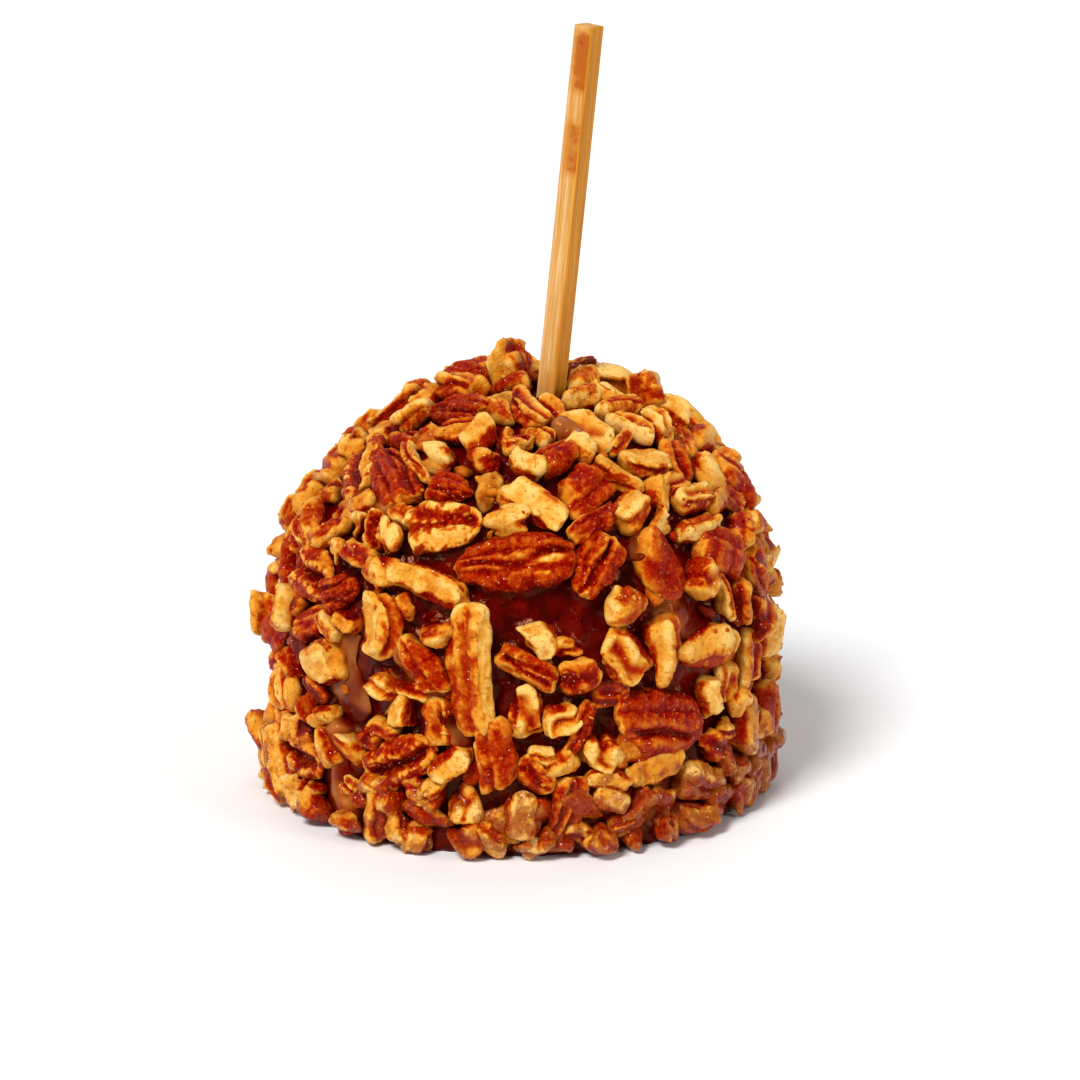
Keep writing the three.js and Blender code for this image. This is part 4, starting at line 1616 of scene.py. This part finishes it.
class AppleColours(bpy.types.PropertyGroup):
    """Colours of the pecans, the caramel, the bamboo and the floor."""

    flesh_light: colour_property("Palest flesh", "Broken edges of the pecan flesh", "#F0C26A")
    flesh: colour_property("Flesh", "Broken pecan flesh", "#E2A038")
    flesh_dark: colour_property("Toasted flesh", "Flesh in shallow hollows", "#D68420")
    amber: colour_property("Amber", "Where flesh meets skin", "#C05A0E")
    skin: colour_property("Skin", "The brown skin of the pecans", "#A62600")
    # Dark skin and furrow are reached partly by the skin's own brown and partly by painted shade in
    # hollows, creases and furrows.
    skin_dark: colour_property("Dark skin", "The skin in hollows", "#8C0200")
    furrow: colour_property("Furrow", "The bottom of the furrows", "#640000")
    bloom: colour_property("Bloom", "The purple bloom on some skins", "#5E2420")
    # The salt colour paints near-white specks that are partly salt grains and partly painted glints.
    salt: colour_property("Salt", "The scattered grains", "#FFF0D0")
    sheen: colour_property("Sheen", "The tint of what shines back from the pecans", "#C8501C")
    gloss: colour_property("Gloss", "The tint of what shines back from the caramel", "#DC9468")
    glaze: colour_property("Glaze", "The film of caramel on the lowest pecans", "#9A3404")
    caramel_deep: colour_property("Deep caramel", "Thick dark caramel", "#3A0000")
    caramel: colour_property("Caramel", "The poured caramel", "#5A0000")
    caramel_thin: colour_property("Thin caramel", "Caramel where light comes through", "#721002")
    # Milky caramel and froth are partly the caramel's own pale colour and partly a painted reflection
    # of the soft lights.
    caramel_milky: colour_property("Milky caramel", "Drips that ran over the nuts", "#A24C14")
    froth: colour_property("Froth", "Caramel full of fine bubbles", "#C8803C")
    bamboo_dark: colour_property("Dark bamboo", "Dark fibres of the stick", "#BC7C28")
    bamboo: colour_property("Bamboo", "Middle fibres of the stick", "#D29A52")
    bamboo_light: colour_property("Pale bamboo", "Pale fibres of the stick", "#E8C08C")
    # The tint for the stick's right-facing side is painted shade.
    bamboo_rind: colour_property("Cane rind", "Tint of the cane's outer side", "#F4D470")
    stain: colour_property("Stain", "Caramel stains on the stick", "#C47604")
    stain_dark: colour_property("Dark stain", "Where the stains are thickest", "#A84A00")
    floor: colour_property("Floor", "The board under the apple", "#F4F4F4")


# ---- Operators ----


COAT_ROUNDS = 7  # halvings of the caramel's mesh
DIP_DEPTH, DIP_WIDTH = 1.2, 9.0  # mm that the top is sunk round the stick, and how far


class MakeCaramel(bpy.types.Operator):
    """Make the poured caramel over the apple, with its flat foot and its collar round the stick"""

    bl_idname = "caramel_apple.caramel"
    bl_label = "Caramel"

    def execute(self, context):
        sizes = context.scene.apple_sizes
        creep = Creep(Nuts.cover)
        bm = bmesh.new()
        bmesh.ops.create_icosphere(bm, subdivisions=COAT_ROUNDS, radius=1)
        milk = []
        for vert in bm.verts:
            direction = vert.co.normalized()
            milk.append(milkiness(direction))
            point = coat_point(direction)
            wave = noise.noise(point * 0.07) + 0.45 * noise.noise(point * 0.2 + Vector((9, 4, 7)))
            sag = noise.noise(Vector((point.x * 0.16, point.y * 0.16, point.z * 0.03 + 5)))
            rise = (wave + 0.8 * sag) * sizes.wave / MM
            rise += sizes.creep / MM * (creep.at(point) + 1.2 * milk[-1])
            away = point - STICK_FOOT
            away -= STICK_ALONG * away.dot(STICK_ALONG)
            if direction.z > 0.8:
                dip = -DIP_DEPTH * math.exp(-((away.length / DIP_WIDTH) ** 2))
                climb = sizes.collar / MM * math.exp(-((away.length / (0.85 * STICK_WIDTH)) ** 4))
                rise += dip + climb
            vert.co = coat_point(direction, rise)
        bmesh.ops.recalc_face_normals(bm, faces=bm.faces)
        bmesh.ops.scale(bm, verts=bm.verts, vec=(MM, MM, MM))
        mesh = mesh_of(bm, "caramel")
        set_trait(mesh, "milk", milk)
        material = cooked_caramel(context.scene.apple_colours)
        finish_piece("caramel_coat", mesh, material, [CRUST])
        strands = joined([strand(row, i) for i, row in enumerate(STRANDS)], "strands")
        finish_piece("caramel_strands", strands, material, [])
        return {"FINISHED"}


class MakeLargePecans(bpy.types.Operator):
    """Make the large pecan pieces where the model has them, one piece for each form"""

    bl_idname = "caramel_apple.large_pecans"
    bl_label = "Large pecans"

    def execute(self, context):
        Nuts.kernel = Kernel()
        Nuts.cover = Cover()
        material = toasted_pecan(context.scene.apple_colours)
        nodes = sorted(n for n in frame["nodes"] if n.startswith("pecan_"))
        for form in sorted({n.split("_")[1] for n in nodes}):
            members = [n for n in nodes if n.split("_")[1] == form]
            mesh = joined([large_pecan(n) for n in members], form)
            finish_piece(f"large_{form}_pieces", mesh, material, members)
        return {"FINISHED"}


LEAST_FREE, LEAST_FREE_HEAPED = 0.35, -1.3  # scores that a place needs
HEAPED_SIZE = 0.85  # of the other small pieces' size


class MakeSmallPecans(bpy.types.Operator):
    """Make the small pecan pieces that fill the room between the large ones"""

    bl_idname = "caramel_apple.small_pecans"
    bl_label = "Small pecans"

    def execute(self, context):
        sizes = context.scene.apple_sizes
        material = bpy.data.materials["toasted pecan"]
        placed = [placed_pecan(row, i, PLACED_VOXEL) for i, row in enumerate(PLACED)]
        finish_piece("placed_pieces", joined(placed, "placed"), material, [])
        rows = foot_rows(seeded("foot"))
        foot = [placed_pecan(row, i, FOOT_VOXEL) for i, row in enumerate(rows, len(PLACED))]
        finish_piece("foot_pieces", joined(foot, "foot"), material, [])
        shapes = small_shapes()
        made = small_pecans(shapes, seeded("small"), sizes.small_count, 1.0, LEAST_FREE)
        low = Nuts.cover.low
        heap = seeded("heap")
        heaped = small_pecans(shapes, heap, sizes.heap_count, HEAPED_SIZE, LEAST_FREE_HEAPED, low)
        for form, meshes in made.items():
            meshes += heaped[form]
            if meshes:
                mesh = joined(meshes, form)
                finish_piece(f"small_{form}_pieces", mesh, material, [])
        finish_piece("pecan_bits", low_bits(sizes.bit_count), material, [])
        return {"FINISHED"}


class MakeCrumbs(bpy.types.Operator):
    """Make the crumbs that stick to the nuts and the caramel"""

    bl_idname = "caramel_apple.crumbs"
    bl_label = "Crumbs"

    def execute(self, context):
        count = context.scene.apple_sizes.crumb_count
        material = bpy.data.materials["toasted pecan"]
        finish_piece("pecan_crumbs", crumbs(count), material, [])
        return {"FINISHED"}


EDGE_BEVEL, END_BEVEL = 0.42, 0.12  # mm, off the stick's long edges and its ends
RING_SPACING, STRIP_SPACING = 1.5, 0.5  # mm between cuts that let the stick's sides wave


class MakeStick(bpy.types.Operator):
    """Make the square bamboo stick"""

    bl_idname = "caramel_apple.stick"
    bl_label = "Stick"

    def execute(self, context):
        bm = bmesh.new()
        bmesh.ops.create_cube(bm, size=1)
        bmesh.ops.scale(bm, verts=bm.verts, vec=(STICK_WIDTH, STICK_WIDTH, STICK_LENGTH))
        rises = {e: abs(e.verts[0].co.z - e.verts[1].co.z) for e in bm.edges}
        bmesh.ops.bevel(
            bm, geom=[e for e in bm.edges if rises[e] > 1], offset=EDGE_BEVEL, segments=3,
            profile=0.5, affect="EDGES", material=-1,
        )
        rims = [e for e in bm.edges if abs(e.verts[0].co.z - e.verts[1].co.z) < 0.01]
        bmesh.ops.bevel(
            bm, geom=rims, offset=END_BEVEL, segments=2, profile=0.5, affect="EDGES", material=-1
        )
        half = STICK_LENGTH / 2
        cuts = [(level, UP) for level in np.arange(-half + 2, half - 1, RING_SPACING)]
        for normal in (Vector((1, 0, 0)), Vector((0, 1, 0))):
            cuts += [(level, normal) for level in np.arange(-1.5, 1.6, STRIP_SPACING)]
        for level, normal in cuts:
            bmesh.ops.bisect_plane(
                bm, geom=bm.verts[:] + bm.edges[:] + bm.faces[:],
                plane_co=normal * level, plane_no=normal,
            )
        rods = [v.co.copy() for v in bm.verts]
        for vert in bm.verts:
            x, y, z = vert.co
            flute = noise.noise(Vector((x * 1.7, y * 1.7, z * 0.012)))
            sway = noise.noise(Vector((0.3, 0.7, z * 0.03)))
            shrink = 1 + 0.035 * flute - 0.01
            vert.co = Vector((x * shrink + 0.05 * sway, y * shrink, z))
        mesh = mesh_of(bm, "stick")
        set_trait(mesh, "rod", rods)
        turn = Matrix((STICK_ACROSS, STICK_ALONG.cross(STICK_ACROSS), STICK_ALONG)).transposed()
        place = Matrix.Translation(STICK_MIDDLE) @ turn.to_4x4()
        mesh.transform(Matrix.Scale(MM, 4) @ place)
        material = split_bamboo(context.scene.apple_colours)
        finish_piece("bamboo_stick", mesh, material, [STICK])
        return {"FINISHED"}


# Soft lights: name, azimuth and elevation in degrees, strength and angle in degrees.
LIGHTS = (
    ("key light", -32, 50, 2.92, 20),
    ("right light", 60, 20, 0.8, 16),
    ("left light", -58, 14, 0.3, 8),
    ("back light", 170, 58, 0.7, 40),
)
SURROUNDINGS = 0.22  # strength of the even light from all round
FLOOR_SIZE = 4  # m
CAMERA_ELEVATION = math.radians(17.65)
CAMERA_DISTANCE = 1.039  # m
CAMERA_TARGET = Vector(((GLOBE.x + 4.0) * MM, GLOBE.y * MM, 0.0457))
VIEW_WIDTH = 0.2  # m that the camera sees at its target
SENSOR_WIDTH = 36  # mm


class MakeStudio(bpy.types.Operator):
    """Make the pale floor, the soft lights and the camera"""

    bl_idname = "caramel_apple.studio"
    bl_label = "Studio"

    def execute(self, context):
        scene = context.scene
        bm = bmesh.new()
        bmesh.ops.create_grid(bm, x_segments=2, y_segments=2, size=FLOOR_SIZE)
        floor = bpy.data.objects.new("floor", mesh_of(bm, "floor"))
        scene.collection.objects.link(floor)
        floor.data.materials.append(matt_floor(scene.apple_colours))

        world = bpy.data.worlds.new("studio")
        world.use_nodes = True
        background = world.node_tree.nodes["Background"].inputs
        background[0].default_value = (1, 1, 1, 1)
        background[1].default_value = SURROUNDINGS
        scene.world = world
        scene.view_settings.view_transform = "Standard"

        for name, azimuth, elevation, strength, spread in LIGHTS:
            light = bpy.data.lights.new(name, "SUN")
            light.energy = strength
            light.angle = math.radians(spread)
            lamp = bpy.data.objects.new(name, light)
            lamp.location = heading(azimuth, elevation)
            lamp.rotation_euler = (-lamp.location).to_track_quat("-Z", "Y").to_euler()
            scene.collection.objects.link(lamp)

        lens = bpy.data.cameras.new("camera")
        lens.sensor_width = SENSOR_WIDTH
        lens.lens = SENSOR_WIDTH * CAMERA_DISTANCE / VIEW_WIDTH
        lens.clip_start = 0.01
        camera = bpy.data.objects.new("camera", lens)
        back = Vector((0, -math.cos(CAMERA_ELEVATION), math.sin(CAMERA_ELEVATION)))
        camera.location = CAMERA_TARGET + back * CAMERA_DISTANCE
        camera.rotation_euler = (-back).to_track_quat("-Z", "Y").to_euler()
        scene.collection.objects.link(camera)
        scene.camera = camera
        return {"FINISHED"}


class ApplePanel(bpy.types.Panel):
    """The apple's pieces in the 3D view's sidebar"""

    bl_idname = "VIEW3D_PT_caramel_apple"
    bl_label = "Caramel apple"
    bl_space_type = "VIEW_3D"
    bl_region_type = "UI"
    bl_category = "Caramel apple"

    def draw(self, context):
        for name in AppleSizes.__annotations__:
            self.layout.prop(context.scene.apple_sizes, name)
        for name in AppleColours.__annotations__:
            self.layout.prop(context.scene.apple_colours, name)
        for operator in PIECES:
            self.layout.operator(operator.bl_idname)


PIECES = (MakeStudio, MakeLargePecans, MakeSmallPecans, MakeCaramel, MakeCrumbs, MakeStick)
CLASSES = (AppleSizes, AppleColours, *PIECES, ApplePanel)


def register():
    for cls in CLASSES:
        bpy.utils.register_class(cls)
    bpy.types.Scene.apple_sizes = PointerProperty(type=AppleSizes)
    bpy.types.Scene.apple_colours = PointerProperty(type=AppleColours)


def unregister():
    del bpy.types.Scene.apple_colours
    del bpy.types.Scene.apple_sizes
    for cls in reversed(CLASSES):
        bpy.utils.unregister_class(cls)


def main():
    register()
    for operator in PIECES:
        group, name = operator.bl_idname.split(".")
        getattr(getattr(bpy.ops, group), name)()


if __name__ == "__main__":
    main()
